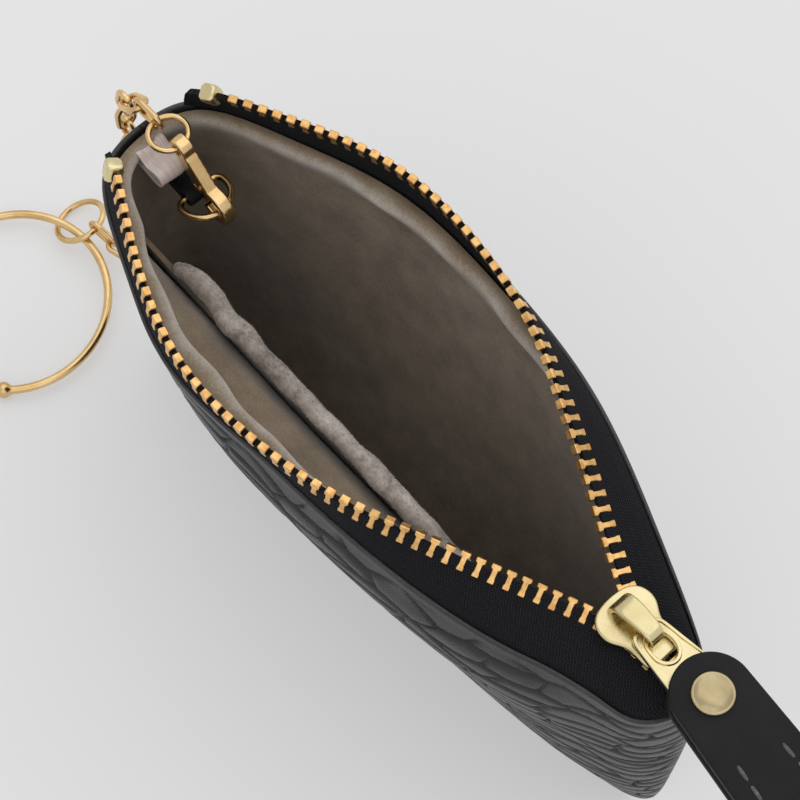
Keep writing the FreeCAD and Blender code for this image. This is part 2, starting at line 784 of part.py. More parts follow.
# The tab and the satin loop in the left side seam
def left_seat(height, middle, width):
    """Where a piece of a width across the left end meets the lining at a height."""
    off = abs(middle) + width / 2
    curve = spline(wall_poles(height, lining_inner, BACK))
    return along_mouth(curve, off, False) + sheet.tab_wall_gap


tab_height = sheet.rim_height - sheet.tab_drop
tab_seat = left_seat(tab_height, sheet.fitting_offset, sheet.tab_width)
tab_eye_x = tab_seat + sheet.tab_reach


def key_tab():
    """A leather tab folded round the bar of its ring."""
    body = new_body("key_tab")
    half = sheet.tab_thickness / 2
    seat = -sheet.tab_reach
    tail = [(seat, -half, 0), (0, -half, 0), (0, half, 0), (seat, half, 0)]
    tail_line = new_sketch(body, "tab_tail_line", rounded_loop(tail), role="XZ_Plane")
    pad(body, "tab_tail", tail_line, "sizes.tab_width", midplane=True)
    eye_sketch = new_sketch(body, "tab_eye_line", [], role="XZ_Plane")
    eye_line = circle_in(eye_sketch, 0, 0, "sizes.tab_eye_radius")
    pad(body, "tab_eye", eye_line, "sizes.tab_width", midplane=True)
    hole_line = circle_in(new_sketch(body, "tab_hole_line", [], role="XZ_Plane"), 0, 0,
                          "sizes.tab_ring_wire / 2 + sizes.tab_eye_wall_gap")
    pocket(body, "tab_hole", hole_line, "sizes.tab_width + sizes.overrun * 2")
    body.Placement = Placement(Vector(tab_eye_x, sheet.fitting_offset, tab_height), Rotation())


key_tab()


def satin_loop():
    """A folded ribbon in the seam: two leaves and the bend that joins them."""
    body = new_body("satin_loop")
    bend = sheet.satin_fold_radius
    thick = sheet.satin_thickness
    reach = sheet.satin_reach
    outer = bend + thick
    outline = [Part.LineSegment(Vector(0, outer, 0), Vector(reach, outer, 0)),
               Part.Arc(Vector(reach, outer, 0), Vector(reach + outer, 0, 0), Vector(reach, -outer, 0)),
               Part.LineSegment(Vector(reach, -outer, 0), Vector(0, -outer, 0)),
               Part.LineSegment(Vector(0, -outer, 0), Vector(0, -bend, 0)),
               Part.LineSegment(Vector(0, -bend, 0), Vector(reach, -bend, 0)),
               Part.Arc(Vector(reach, -bend, 0), Vector(reach + bend, 0, 0), Vector(reach, bend, 0)),
               Part.LineSegment(Vector(reach, bend, 0), Vector(0, bend, 0)),
               Part.LineSegment(Vector(0, bend, 0), Vector(0, outer, 0))]
    sketch = new_sketch(body, "satin_line", outline, role="XZ_Plane")
    pad(body, "satin_ribbon", sketch, "sizes.satin_width", midplane=True)
    lift = sheet.rim_height - sheet.satin_drop
    seat = left_seat(lift, sheet.satin_offset, sheet.satin_width)
    body.Placement = Placement(Vector(seat, sheet.satin_offset, lift), Rotation())


satin_loop()


def wire_section(off, radius):
    """An octagon of wire round a point at a distance along the first axis."""
    corners = []
    for index in range(8):
        angle = math.pi / 8 + index * math.pi / 4
        corners.append((off + radius * math.cos(angle), radius * math.sin(angle), 0))
    return rounded_loop(corners)


def wire_loop(name, corners, wire_alias, closed=True):
    """Bent wire, swept with mitred bends along its corners in the XY plane.

    The first corner lies at x = 0, halfway along a straight run.
    """
    body = new_body(name)
    run = rounded_loop([(x, y, 0) for x, y in corners])
    if not closed:
        run = run[:-1]
    spine = new_sketch(body, name + "_spine", run)
    section = wire_section(corners[0][1], getattr(sheet, wire_alias) / 2)
    profile = new_sketch(body, name + "_section", section, role="YZ_Plane")
    sweep = body.newObject("PartDesign::AdditivePipe", name + "_wire")
    sweep.Profile = profile
    sweep.Spine = (spine, ["Edge%d" % (index + 1) for index in range(len(run))])
    sweep.Transition = "Right corner"
    return body


def ring_corners(radius, sides, degrees=360.0):
    """Corners of a round run of wire, clockwise from the y axis, in even chords outside its circle."""
    step = math.radians(degrees) / sides
    reach = radius / math.cos(step / 2)
    corners = [(0, radius)]
    for side in range(sides):
        angle = math.pi / 2 - step * (side + 0.5)
        corners.append((reach * math.cos(angle), reach * math.sin(angle)))
    return corners


def turned(origin, x_axis, y_axis):
    """Placement of a piece's own frame by its first two axes."""
    z_axis = x_axis.cross(y_axis)
    return Placement(origin, Rotation(x_axis, y_axis, z_axis, "XYZ"))


UP = Vector(0, 0, 1)
ACROSS = Vector(0, 1, 0)


def slant(degrees):
    """Unit vector in the XZ plane, by degrees above +X."""
    angle = math.radians(degrees)
    return Vector(math.cos(angle), 0, math.sin(angle))


# The tab's ring: a D of wire, with its bar at y = 0 along x and its bow towards +y
EIGHTH = math.tan(math.pi / 8)
bar_half = sheet.tab_ring_half_bar
ring_leg = sheet.tab_ring_corner + sheet.tab_ring_leg
bow = bar_half + sheet.tab_ring_corner
ring_depth = ring_leg + bow
d_corners = [(0, 0), (bar_half, 0), (bow, sheet.tab_ring_corner), (bow, ring_leg + bow * EIGHTH),
             (bow * EIGHTH, ring_depth), (-bow * EIGHTH, ring_depth), (-bow, ring_leg + bow * EIGHTH),
             (-bow, sheet.tab_ring_corner), (-bar_half, 0)]
ring_bar = Vector(tab_eye_x, sheet.fitting_offset, tab_height)
ring_way = slant(sheet.tab_ring_tilt_deg)
wire_loop("tab_ring", d_corners, "tab_ring_wire").Placement = turned(ring_bar, ACROSS, ring_way)
ring_bow = ring_bar + ring_way * ring_depth

# The clasp, in its own frame: hook centre at the origin, eye along +x, gate on the +y side
clasp_way = slant(sheet.clasp_lean_deg)
hook_seat = sheet.clasp_hook_inner - sheet.tab_ring_wire / 2 - sheet.clasp_seat_gap
hook_centre = ring_bow + clasp_way * hook_seat
clasp_up = clasp_way.cross(ACROSS)
clasp_place = turned(hook_centre, clasp_way, clasp_up)
stem_half = sheet.clasp_stem / 2
pin_x = sheet.clasp_hook_radius + sheet.trigger_boss / 2
pin_y = stem_half
gate_start = 15.0
inner_r = sheet.clasp_hook_inner
outer_r = sheet.clasp_hook_radius


def ring_sector(inner, outer, start_deg, end_deg):
    """Outline of a sector of a flat ring."""
    points = []
    for radius in (inner, outer):
        for degrees in (start_deg, (start_deg + end_deg) / 2, end_deg):
            angle = math.radians(degrees)
            points.append(Vector(radius * math.cos(angle), radius * math.sin(angle), 0))
    return [Part.Arc(points[3], points[4], points[5]), Part.LineSegment(points[5], points[2]),
            Part.Arc(points[2], points[1], points[0]), Part.LineSegment(points[0], points[3])]


def clasp_body():
    """The hook, stem and eye, slotted for the trigger."""
    body = new_body("clasp_body")
    hook_sector = ring_sector(inner_r, outer_r, sheet.clasp_tip_deg, 360.0 - gate_start)
    hook = new_sketch(body, "hook_line", hook_sector)
    pad(body, "hook", hook, "sizes.clasp_thickness", midplane=True)
    stem_start = inner_r * math.cos(math.radians(gate_start)) + sheet.trigger_pin_radius
    stem_end = sheet.clasp_length - sheet.clasp_eye_hole
    stem = [(stem_start, -stem_half, 0), (stem_end, -stem_half, stem_half * 0.6),
            (stem_end, stem_half, stem_half * 0.6),
            (pin_x - sheet.trigger_boss, stem_half + sheet.trigger_boss, 0),
            (stem_start, inner_r * math.sin(math.radians(gate_start)), 0)]
    stem_line = new_sketch(body, "stem_line", rounded_loop(stem))
    pad(body, "stem", stem_line, "sizes.clasp_thickness", midplane=True)
    eye = circle_in(new_sketch(body, "eye_line", []), sheet.clasp_length, 0, "sizes.clasp_eye_radius")
    pad(body, "eye", eye, "sizes.clasp_thickness", midplane=True)
    hole = circle_in(new_sketch(body, "eye_hole_line", []), sheet.clasp_length, 0, "sizes.clasp_eye_hole")
    pocket(body, "eye_hole", hole, "sizes.clasp_thickness + sizes.overrun * 2")
    room = sheet.trigger_boss + sheet.trigger_room
    reach = outer_r + sheet.trigger_lever
    slot = [(0, -sheet.trigger_room, 0), (pin_x + room, -sheet.trigger_room, 0), (pin_x + room, reach, 0),
            (0, reach, 0)]
    slot_line = new_sketch(body, "slot_line", rounded_loop(slot))
    pocket(body, "trigger_slot", slot_line, "sizes.clasp_slot")
    pin = circle_in(new_sketch(body, "pin_hole_line", []), pin_x, pin_y, "sizes.trigger_pin_radius")
    pocket(body, "pin_hole", pin, "sizes.clasp_thickness + sizes.overrun * 2")
    body.Placement = clasp_place


clasp_body()


def clasp_trigger():
    """The gate that closes the hook, with its boss on the pin and a lever for the thumb."""
    body = new_body("clasp_trigger")
    boss = circle_in(new_sketch(body, "boss_line", []), pin_x, pin_y, "sizes.trigger_boss")
    pad(body, "boss", boss, "sizes.trigger_thickness", midplane=True)
    gate_end = sheet.clasp_tip_deg - sheet.trigger_tip_gap_deg
    gate = new_sketch(body, "gate_line", ring_sector(inner_r, outer_r, gate_start * 1.6, gate_end))
    pad(body, "gate", gate, "sizes.trigger_thickness", midplane=True)
    boss_half = sheet.trigger_boss * 0.6
    lever = [(pin_x - boss_half, pin_y, 0), (pin_x + boss_half, pin_y, 0),
             (pin_x + boss_half, pin_y + sheet.trigger_lever, boss_half * 0.9),
             (pin_x - boss_half, pin_y + sheet.trigger_lever, boss_half * 0.9)]
    lever_line = new_sketch(body, "lever_line", rounded_loop(lever))
    pad(body, "lever", lever_line, "sizes.trigger_thickness", midplane=True)
    hole = circle_in(new_sketch(body, "boss_hole_line", []), pin_x, pin_y,
                     "sizes.trigger_pin_radius + sizes.trigger_pin_gap")
    pocket(body, "boss_hole", hole, "sizes.trigger_thickness + sizes.overrun * 2")
    body.Placement = clasp_place


clasp_trigger()

pin = new_body("clasp_pin")
pin_line = circle_in(new_sketch(pin, "pin_line", []), pin_x, pin_y, "sizes.trigger_pin_radius")
pad(pin, "pin", pin_line, "sizes.clasp_thickness", midplane=True)
pin.Placement = clasp_place

# The clasp's jump ring lies across the rim: its wire passes the eye and the first link
eye_centre = hook_centre + clasp_way * sheet.clasp_length
jump_way = slant(180.0 + sheet.clasp_ring_tilt_deg)
eye_play = sheet.clasp_eye_hole - sheet.clasp_ring_wire / 2 - sheet.clasp_eye_gap
jump_near = eye_centre + jump_way * eye_play
jump_far = jump_near + jump_way * sheet.clasp_ring_radius * 2
jump_centre = jump_near + jump_way * sheet.clasp_ring_radius
jump_ring = wire_loop("clasp_ring", ring_corners(sheet.clasp_ring_radius, 18), "clasp_ring_wire")
jump_ring.Placement = turned(jump_centre, jump_way, ACROSS)

# One chain link, lying in its XY plane along x, and its copies along the chain
link_bow = (sheet.link_width - sheet.link_wire) / 2
link_straight = (sheet.link_length - sheet.link_width) / 2
link_reach = (sheet.link_length - sheet.link_wire) / 2
link_side = link_straight + link_bow * EIGHTH
link_corners = [(0, link_bow), (link_side, link_bow), (link_reach, link_bow * EIGHTH),
                (link_reach, -link_bow * EIGHTH), (link_side, -link_bow), (-link_side, -link_bow),
                (-link_reach, -link_bow * EIGHTH), (-link_reach, link_bow * EIGHTH), (-link_side, link_bow)]
first_link = wire_loop("chain_link_01", link_corners, "link_wire")
doc.recompute()
link_shape = first_link.Shape.copy()
wire_step = sheet.link_wire + sheet.link_gap


def rounded(vector):
    """A vector's values for printing."""
    return tuple(round(value, 4) for value in vector)


def chain_places(hanging, hang_degrees):
    """Each link's hinge point, near bow and axes, hooked into the one before, and the chain's last bow.

    Links stand upright and lie across in turn: some over the rim, some hanging, some on the floor.
    """
    degrees = RIM_DEGREES + (hang_degrees,) * hanging + FLOOR_DEGREES
    places = []
    before_bow = jump_far
    before_way = jump_way
    step = (sheet.clasp_ring_wire + sheet.link_wire) / 2 + sheet.link_gap
    for index, fall in enumerate(degrees):
        on_floor = index >= len(RIM_DEGREES) + hanging
        yaw = Rotation(UP, sheet.chain_yaw_deg if on_floor else 0)
        way = yaw.multVec(slant(180.0 + fall))
        side = yaw.multVec(ACROSS)
        across = way.cross(side)
        stands = index % 2 == 0
        near_bow = before_bow - (way if stands else before_way) * step
        places.append((near_bow if stands else before_bow, near_bow, way, side, across, stands))
        before_bow = near_bow + way * link_reach * 2
        before_way = way
        step = wire_step
    return places, before_bow


def hang_to_floor():
    """How many links hang, an even number, and how steeply, for the chain to end at its height."""
    hanging = 2
    while chain_places(hanging, 90.0)[1].z > sheet.chain_end_height:
        hanging += 2
    low = 0
    high = 90.0
    for _ in range(40):
        middle = (low + high) / 2
        if chain_places(hanging, middle)[1].z > sheet.chain_end_height:
            low = middle
        else:
            high = middle
    return chain_places(hanging, high)


chain, chain_end = hang_to_floor()
for number, (pivot, near_bow, way, side, across, stands) in enumerate(chain, start=1):
    place = turned(near_bow + way * link_reach, way, across if stands else side)
    name = "chain_link_%02d" % number
    if number == 1:
        first_link.Placement = place
    else:
        link = keep(doc.addObject("Part::Feature", name), name)
        link.Shape = link_shape
        link.Placement = place
    print("hinge", number, rounded(pivot), rounded(across), rounded(near_bow))
chain_way = chain[-1][2]

# The small ring leans on the floor, its high side in the last link
ring_end = chain_end - chain_way * ((sheet.link_wire + sheet.ring_wire) / 2 + sheet.link_gap)
toward_chain = Vector(-chain_way.x, -chain_way.y, 0).normalize()
ring_low = sheet.ring_wire / 2 + sheet.floor_gap
ring_lean = math.asin((ring_end.z - ring_low) / (sheet.ring_radius * 2))
ring_slope = toward_chain * math.cos(ring_lean) + UP * math.sin(ring_lean)
ring_centre = ring_end - ring_slope * sheet.ring_radius
toward_hoop = toward_chain.cross(UP)
small_ring = wire_loop("hoop_ring", ring_corners(sheet.ring_radius, 24), "ring_wire")
small_ring.Placement = turned(ring_centre, ring_slope, toward_hoop)

# The key hoop lies on the floor, tilted so that it passes through the leaning ring and rests on its ball
hoop_low = sheet.hoop_wire / 2 + sheet.floor_gap
chain_sine = sheet.hoop_chain_rise / sheet.hoop_radius
ring_sine = sheet.hoop_ring_rise / sheet.hoop_radius
hoop_x = toward_chain * math.sqrt(1 - chain_sine * chain_sine) + UP * chain_sine
hoop_up = hoop_x.cross(toward_hoop * -1)
hoop_y = toward_hoop * -math.sqrt(1 - ring_sine * ring_sine) + hoop_up * ring_sine
hoop_centre = ring_centre + toward_hoop * (sheet.hoop_radius + sheet.hoop_play)
hoop_centre.z = hoop_low + math.hypot(sheet.hoop_chain_rise, sheet.hoop_ring_rise)
ball_half_deg = math.degrees((sheet.hoop_ball_radius + sheet.hoop_ball_gap) / sheet.hoop_radius)
hoop_frame = turned(hoop_centre, hoop_x, hoop_y)
hoop_spin = Rotation(Vector(0, 0, 1), sheet.hoop_ball_deg - ball_half_deg - 90.0)
hoop_turn = Placement(Vector(0, 0, 0), hoop_spin)
hoop_run = ring_corners(sheet.hoop_radius, 40, 360.0 - ball_half_deg * 2)
hoop_end = math.radians(90.0 + ball_half_deg * 2)
hoop_run.append((sheet.hoop_radius * math.cos(hoop_end), sheet.hoop_radius * math.sin(hoop_end)))
hoop = wire_loop("key_hoop", hoop_run, "hoop_wire", closed=False)
hoop.Placement = hoop_frame.multiply(hoop_turn)


def hoop_ball():
    """The ball that closes the hoop."""
    radius = sheet.hoop_ball_radius
    profile = []
    for degrees in (-75, -45, -15, 15, 45, 75):
        angle = math.radians(degrees)
        profile.append((radius * math.cos(angle), radius * math.sin(angle)))
    angle = math.radians(sheet.hoop_ball_deg)
    place = Vector(sheet.hoop_radius * math.cos(angle), sheet.hoop_radius * math.sin(angle), 0)
    turned_facets("hoop_ball", profile, 14).Placement = hoop_frame.multiply(Placement(place, Rotation()))


hoop_ball()


print("zip level", zip_level, "slider nose", slider_nose, "pull", pull_x, pull_z)
print("tab ring", rounded(ring_bar), "clasp on", rounded(ring_bow), "eye", rounded(jump_near))
print("trigger pin", rounded(clasp_place.multVec(Vector(pin_x, pin_y, 0))), "link 1 on", rounded(jump_far))
print("rivet", rounded(strap_place.Base), "small ring end", rounded(chain_end))
print("ring centre", rounded(ring_centre), "lean", math.degrees(ring_lean))
print("hoop centre", rounded(hoop_centre), "axis", rounded(hoop_frame.Rotation.multVec(UP)))

doc.recompute()
for item in doc.Objects:
    if "Invalid" in item.State or "Error" in item.State:
        raise RuntimeError("%s failed" % item.Name)
os.makedirs("parts", exist_ok=True)
for item in parts:
    if item.Shape.isNull() or not item.Shape.isValid():
        raise RuntimeError("%s has no valid shape" % item.Label)
for item in parts:
    item.Shape.exportStep("parts/%s.step" % item.Label)
print("parts", len(parts))
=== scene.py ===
# %% [markdown]
# # A zip key case of embossed leather
# The case stands open on a pale table, seen from above on its front right, with its key hoop on a chain.
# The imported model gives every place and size; this lesson gives it leather, suede, woven tape and gold.
# All shapes are worked out in millimetres and put into the scene in metres.
# %% Load the frame
import json
import math
import bmesh
import bpy
import numpy as np
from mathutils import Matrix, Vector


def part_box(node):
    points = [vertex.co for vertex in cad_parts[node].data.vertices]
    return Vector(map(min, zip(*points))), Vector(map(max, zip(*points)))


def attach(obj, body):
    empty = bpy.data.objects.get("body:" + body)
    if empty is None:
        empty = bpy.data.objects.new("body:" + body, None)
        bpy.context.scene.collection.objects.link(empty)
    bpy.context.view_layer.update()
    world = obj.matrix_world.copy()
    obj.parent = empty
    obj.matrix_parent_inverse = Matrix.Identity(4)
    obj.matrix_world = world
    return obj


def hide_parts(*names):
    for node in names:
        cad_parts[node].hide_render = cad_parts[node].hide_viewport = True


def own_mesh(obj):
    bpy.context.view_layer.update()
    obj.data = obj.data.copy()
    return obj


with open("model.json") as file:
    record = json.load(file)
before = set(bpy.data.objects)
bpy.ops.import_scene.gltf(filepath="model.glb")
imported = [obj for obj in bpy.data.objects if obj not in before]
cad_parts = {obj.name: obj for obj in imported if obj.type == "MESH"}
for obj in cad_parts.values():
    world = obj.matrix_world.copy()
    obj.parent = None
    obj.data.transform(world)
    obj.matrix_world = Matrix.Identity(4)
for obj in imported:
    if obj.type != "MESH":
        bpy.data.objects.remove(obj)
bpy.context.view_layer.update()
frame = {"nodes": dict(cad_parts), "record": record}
MM = 0.001
joints = {joint["name"]: joint for joint in frame["record"]["behaviour"]["joints"]}

# %% [markdown]
# ## From points to pieces
# A sheet, a wire or a plate is a grid of points: rows along its path, columns round its section.
# Blender's primitives could be bent into place, but a grid worked out as one array keeps every
# size exact, and the same few lines then close its ends and turn its faces out.
# %% Skins and pieces
def skin(points, loop=False, caps=True, **values):
    """A grid of points (rows, columns, 3) as quads, its columns closed round; loop closes its rows too.

    caps puts a flat face on the first and last row. values are numbers kept for each point.
    """
    rows, columns = points.shape[:2]
    row, column = np.meshgrid(np.arange(rows if loop else rows - 1), np.arange(columns), indexing="ij")
    after_row, after = (row + 1) % rows, (column + 1) % columns
    quads = np.stack([row * columns + column, row * columns + after,
                      after_row * columns + after, after_row * columns + column], -1)
    faces = quads.reshape(-1, 4).tolist()
    if caps and not loop:
        faces.append(list(range(columns)))
        faces.append(list(range(rows * columns - columns, rows * columns)))
    return points.reshape(-1, 3), faces, values


def copies(template, places):
    """One small skin set down many times: places is (n, 4, 3), an origin and three axes for each copy."""
    points, faces, values = template
    spread = places[:, None, 0] + np.einsum("pa,nac->npc", points, places[:, 1:])
    offsets = np.arange(len(places)) * len(points)
    many = [[corner + offset for corner in face] for offset in offsets for face in faces]
    return spread.reshape(-1, 3), many, values


def piece(name, skins, finish, body, nodes=(), sharp=50.0, soft=False):
    """Skins joined as one named object: poles closed, faces outwards, riding on its body."""
    starts = np.cumsum([0] + [len(points) for points, _, _ in skins])
    faces = [[corner + start for corner in face]
             for start, (_, some, _) in zip(starts, skins) for face in some]
    mesh = bpy.data.meshes.new(name)
    mesh.from_pydata((np.concatenate([points for points, _, _ in skins]) * MM).tolist(), [], faces)
    for key in skins[0][2]:
        numbers = np.concatenate([values[key].reshape(-1, 3) for _, _, values in skins])
        layer = mesh.attributes.new(key, "FLOAT_VECTOR", "POINT")
        layer.data.foreach_set("vector", numbers.astype(np.float32).ravel())
    work = bmesh.new()
    work.from_mesh(mesh)
    bmesh.ops.remove_doubles(work, verts=work.verts, dist=1e-7)
    bmesh.ops.recalc_face_normals(work, faces=work.faces)
    work.to_mesh(mesh)
    work.free()
    mesh.shade_smooth()
    mesh.set_sharp_from_angle(angle=math.radians(sharp))
    mesh.materials.append(finish)
    made = bpy.data.objects.new(name, mesh)
    bpy.context.scene.collection.objects.link(made)
    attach(made, body)
    if nodes:
        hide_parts(*nodes)
    if soft:
        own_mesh(made)
    print(name, len(mesh.vertices), "points", len(mesh.polygons), "faces")
    return made


# %% [markdown]
# ## Finishes
# Each finish is a Principled shader with a little node tree. `add` makes one node, and a socket given
# as a value is linked, a number is set. Colours are written as they look on screen.
# %% Helpers for finishes
def screen(red, green, blue):
    """The linear colour of an 8-bit screen colour."""
    share = np.array([red, green, blue]) / 255
    linear = np.where(share <= 0.04045, share / 12.92, ((share + 0.055) / 1.055) ** 2.4)
    return (*linear.tolist(), 1.0)


def add(tree, kind, sockets, **settings):
    """A node of a kind, with its settings and its sockets set or linked."""
    node = tree.nodes.new("ShaderNode" + kind)
    for key, value in settings.items():
        setattr(node, key, value)
    for key, value in sockets.items():
        if isinstance(value, bpy.types.NodeSocket):
            tree.links.new(value, node.inputs[key])
        else:
            node.inputs[key].default_value = value
    return node


def new_finish(name, colour, roughness, metallic=0.0, **sockets):
    """A material with plain values on its shader; returns it, its tree, its shader and object coordinates."""
    material = bpy.data.materials.new(name)
    material.use_nodes = True
    tree = material.node_tree
    shader = tree.nodes["Principled BSDF"]
    plain = {"Base Color": colour, "Roughness": roughness, "Metallic": metallic}
    for key, value in {**plain, **sockets}.items():
        shader.inputs[key.replace("_", " ")].default_value = value
    return material, tree, shader, add(tree, "TexCoord", {}).outputs["Object"]


def noise(tree, place, scale, detail=3.0, roughness=0.55):
    """Cloudy noise from 0 to 1 with about scale lumps to the metre."""
    return add(tree, "TexNoise", {"Vector": place, "Scale": scale, "Detail": detail,
                                  "Roughness": roughness}).outputs["Fac"]


def between(tree, share, low, high, start=0.0, end=1.0):
    """A number that goes from low to high as share goes from start to end."""
    return add(tree, "MapRange", {"Value": share, "From Min": start, "From Max": end,
                                  "To Min": low, "To Max": high}).outputs["Result"]


def paint(tree, shader, share, *stops):
    """The shader's colour goes with share along a ramp through (share, colour) stops."""
    ramp = add(tree, "ValToRGB", {"Fac": share})
    for index, (position, colour) in enumerate(stops):
        stop = ramp.color_ramp.elements[index] if index < 2 else ramp.color_ramp.elements.new(position)
        stop.position = position
        stop.color = colour
    tree.links.new(ramp.outputs["Color"], shader.inputs["Base Color"])


def kept(tree, name):
    """The three numbers, X, Y and Z, that the mesh keeps for each point under a name."""
    numbers = add(tree, "Attribute", {}, attribute_name=name).outputs["Vector"]
    return add(tree, "SeparateXYZ", {"Vector": numbers}).outputs


def count(tree, operation, first, second=0.0):
    """One sum on two numbers."""
    return add(tree, "Math", {0: first, 1: second}, operation=operation).outputs[0]


def raise_grain(tree, shader, height, strength, distance):
    """Bump from a height in shares of a distance in metres."""
    bump = add(tree, "Bump", {"Height": height, "Strength": strength, "Distance": distance})
    tree.links.new(bump.outputs["Normal"], shader.inputs["Normal"])


# %% [markdown]
# ## The wall of the pouch
# Front and back are curved walls of one kind. The outline is a smooth curve on eleven poles; from the
# narrow base to the open rim it turns from one set of poles into the other while it grows. The front
# stands out more by the slider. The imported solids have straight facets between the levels, so the
# surface here passes through the same points.
# %% Wall formula
FRONT, BACK = -1, 1
LEFT_POLES = ((-1, 0), (-1, 0.27), (-0.94, 0.50), (-0.72, 0.72), (-0.42, 1.06), (-0.05, 1.02))
RIM_POLES = {FRONT: np.array(LEFT_POLES + ((0.30, 0.96), (0.66, 0.74), (0.86, 0.42), (0.98, 0.38), (1, 0))),
             BACK: np.array(LEFT_POLES + ((0.30, 0.93), (0.66, 0.53), (0.86, 0.31), (0.98, 0.14), (1, 0)))}
BASE_POLES = np.array(((-1, 0), (-1, 0.36), (-0.93, 0.70), (-0.72, 0.95), (-0.42, 1.04), (-0.05, 1.05),
                       (0.30, 1.04), (0.66, 0.97), (0.86, 0.78), (0.98, 0.36), (1, 0)))
LEVELS = np.array(((0.0, 0.90, 0.16, 0.0), (0.045, 0.955, 0.19, 0.0), (0.12, 0.985, 0.26, 0.1),
                   (0.30, 1.0, 0.48, 0.35), (0.62, 1.005, 0.75, 0.72), (1.0, 1.0, 1.0, 1.0)))
HALF_LENGTH, HALF_WIDTH, RIM = 60.5, 23.6, 70.0
# how deep under the outline the inner faces of the leather and of the lining lie
LEATHER, LINING = 1.3, 2.2
# by the slider: heights, and how far the front is drawn in there
DRAWN = np.array(((0, 40, 50, 57, 63, 67, 71), (0, 0, -0.7, -1.0, 0, 1.7, 2.8)))


def pole_weights(along):
    """Weights of the eleven poles of a clamped even cubic curve at shares along it."""
    knots = np.concatenate([np.zeros(3), np.linspace(0, 1, 9), np.ones(3)])
    share = np.clip(along, 0, 1 - 1e-9)[:, None]
    weights = ((knots[:-1] <= share) & (share < knots[1:])).astype(float)
    for degree in (1, 2, 3):
        rise = knots[degree:-1] - knots[:-degree - 1]
        fall = knots[degree + 1:] - knots[1:-degree]
        up = (share - knots[:-degree - 1]) / np.where(rise > 0, rise, 1) * (rise > 0)
        down = (knots[degree + 1:] - share) / np.where(fall > 0, fall, 1) * (fall > 0)
        weights = up * weights[:, :-1] + down * weights[:, 1:]
    return weights


def eased(at, places, values):
    """A smooth curve through points that never swings past them: cubic pieces on harmonic mean slopes."""
    step = np.diff(places)
    chord = np.diff(values) / step
    level = chord[:-1] * chord[1:] > 0
    mean = np.where(level, 2 * chord[:-1] * chord[1:] / np.where(level, chord[:-1] + chord[1:], 1), 0)
    slope = np.concatenate([chord[:1], mean, chord[-1:]])
    index = np.clip(np.searchsorted(places, at, side="right") - 1, 0, len(step) - 1)
    way = (at - places[index]) / step[index]
    low, high = values[index], values[index + 1]
    ease = way * way * (3 - 2 * way)
    bend = way * (1 - way) * step[index]
    return low + (high - low) * ease + bend * ((1 - way) * slope[index] - way * slope[index + 1])


def wall(along, height, inset, side, to_seam=0.0):
    """Points (along, height, 3) of a wall: poles mixed for each height, scaled to that level less the inset.

    to_seam from 0 to 1 draws a point in from the outline to the seam in the middle plane. On the front,
    by the slider, the closed zip draws the rim in and the leather swells below it.
    """
    share = np.clip(height / RIM, 0, 1)
    length, width, turn = (eased(share, LEVELS[:, 0], LEVELS[:, column]) for column in (1, 2, 3))
    poles = BASE_POLES + (RIM_POLES[side] - BASE_POLES) * turn[:, None, None]
    weights = pole_weights(along)
    x = (HALF_LENGTH * length - inset) * (weights @ poles[..., 0].T)
    y = (HALF_WIDTH * width - inset) * (weights @ poles[..., 1].T) * (1 - to_seam)
    if side == FRONT:
        # nothing left of -36 mm or right of 57 mm, all of it from -4 mm to 40 mm
        near = np.clip((x + 36) / 32, 0, 1) * np.clip((57 - x) / 17, 0, 1)
        y -= near ** 2 * (3 - 2 * near) * eased(height, *DRAWN) * (1 - to_seam)
    return np.stack([x, side * y, np.broadcast_to(height, x.shape)], -1)


def line(*runs):
    """Numbers in even runs of (start, end, steps), joined end to end."""
    return np.concatenate([np.linspace(start, end, steps) for start, end, steps in runs])


def run_length(path):
    """Lengths from the start of a path to each of its points."""
    return np.concatenate([[0], np.cumsum(np.linalg.norm(np.diff(path, axis=0), axis=1))])


def at_length(path, lengths):
    """Points of a path at lengths along it."""
    run = run_length(path)
    return np.stack([np.interp(lengths, run, column) for column in path.T], -1)


rim_lines = {side: wall(np.linspace(0, 1, 800), np.array([RIM]), 0.3, side)[:, 0] for side in (FRONT, BACK)}
for side, rim_line in rim_lines.items():
    print("rim", side, round(float(run_length(rim_line)[-1]), 1), "mm")

# %% [markdown]
# ## Embossed leather
# The leather is pressed with long scales in rows. A bump map would only shade them, and the grooves
# must also break the outline, so the scales are cut into the mesh: every point finds its nearest cell
# centre, then the distance to the line halfway to the next cells, and a groove lies along those lines.
# %% Scales
def cell_shares(column, row, seed):
    """Two even numbers from 0 to 1 for every cell, from the fractions of steep sines."""
    first = np.sin(column * 127.1 + row * 311.7 + seed) * 4375.85
    second = np.sin(column * 269.5 + row * 183.3 + seed) * 4375.85
    return first - np.floor(first), second - np.floor(second)


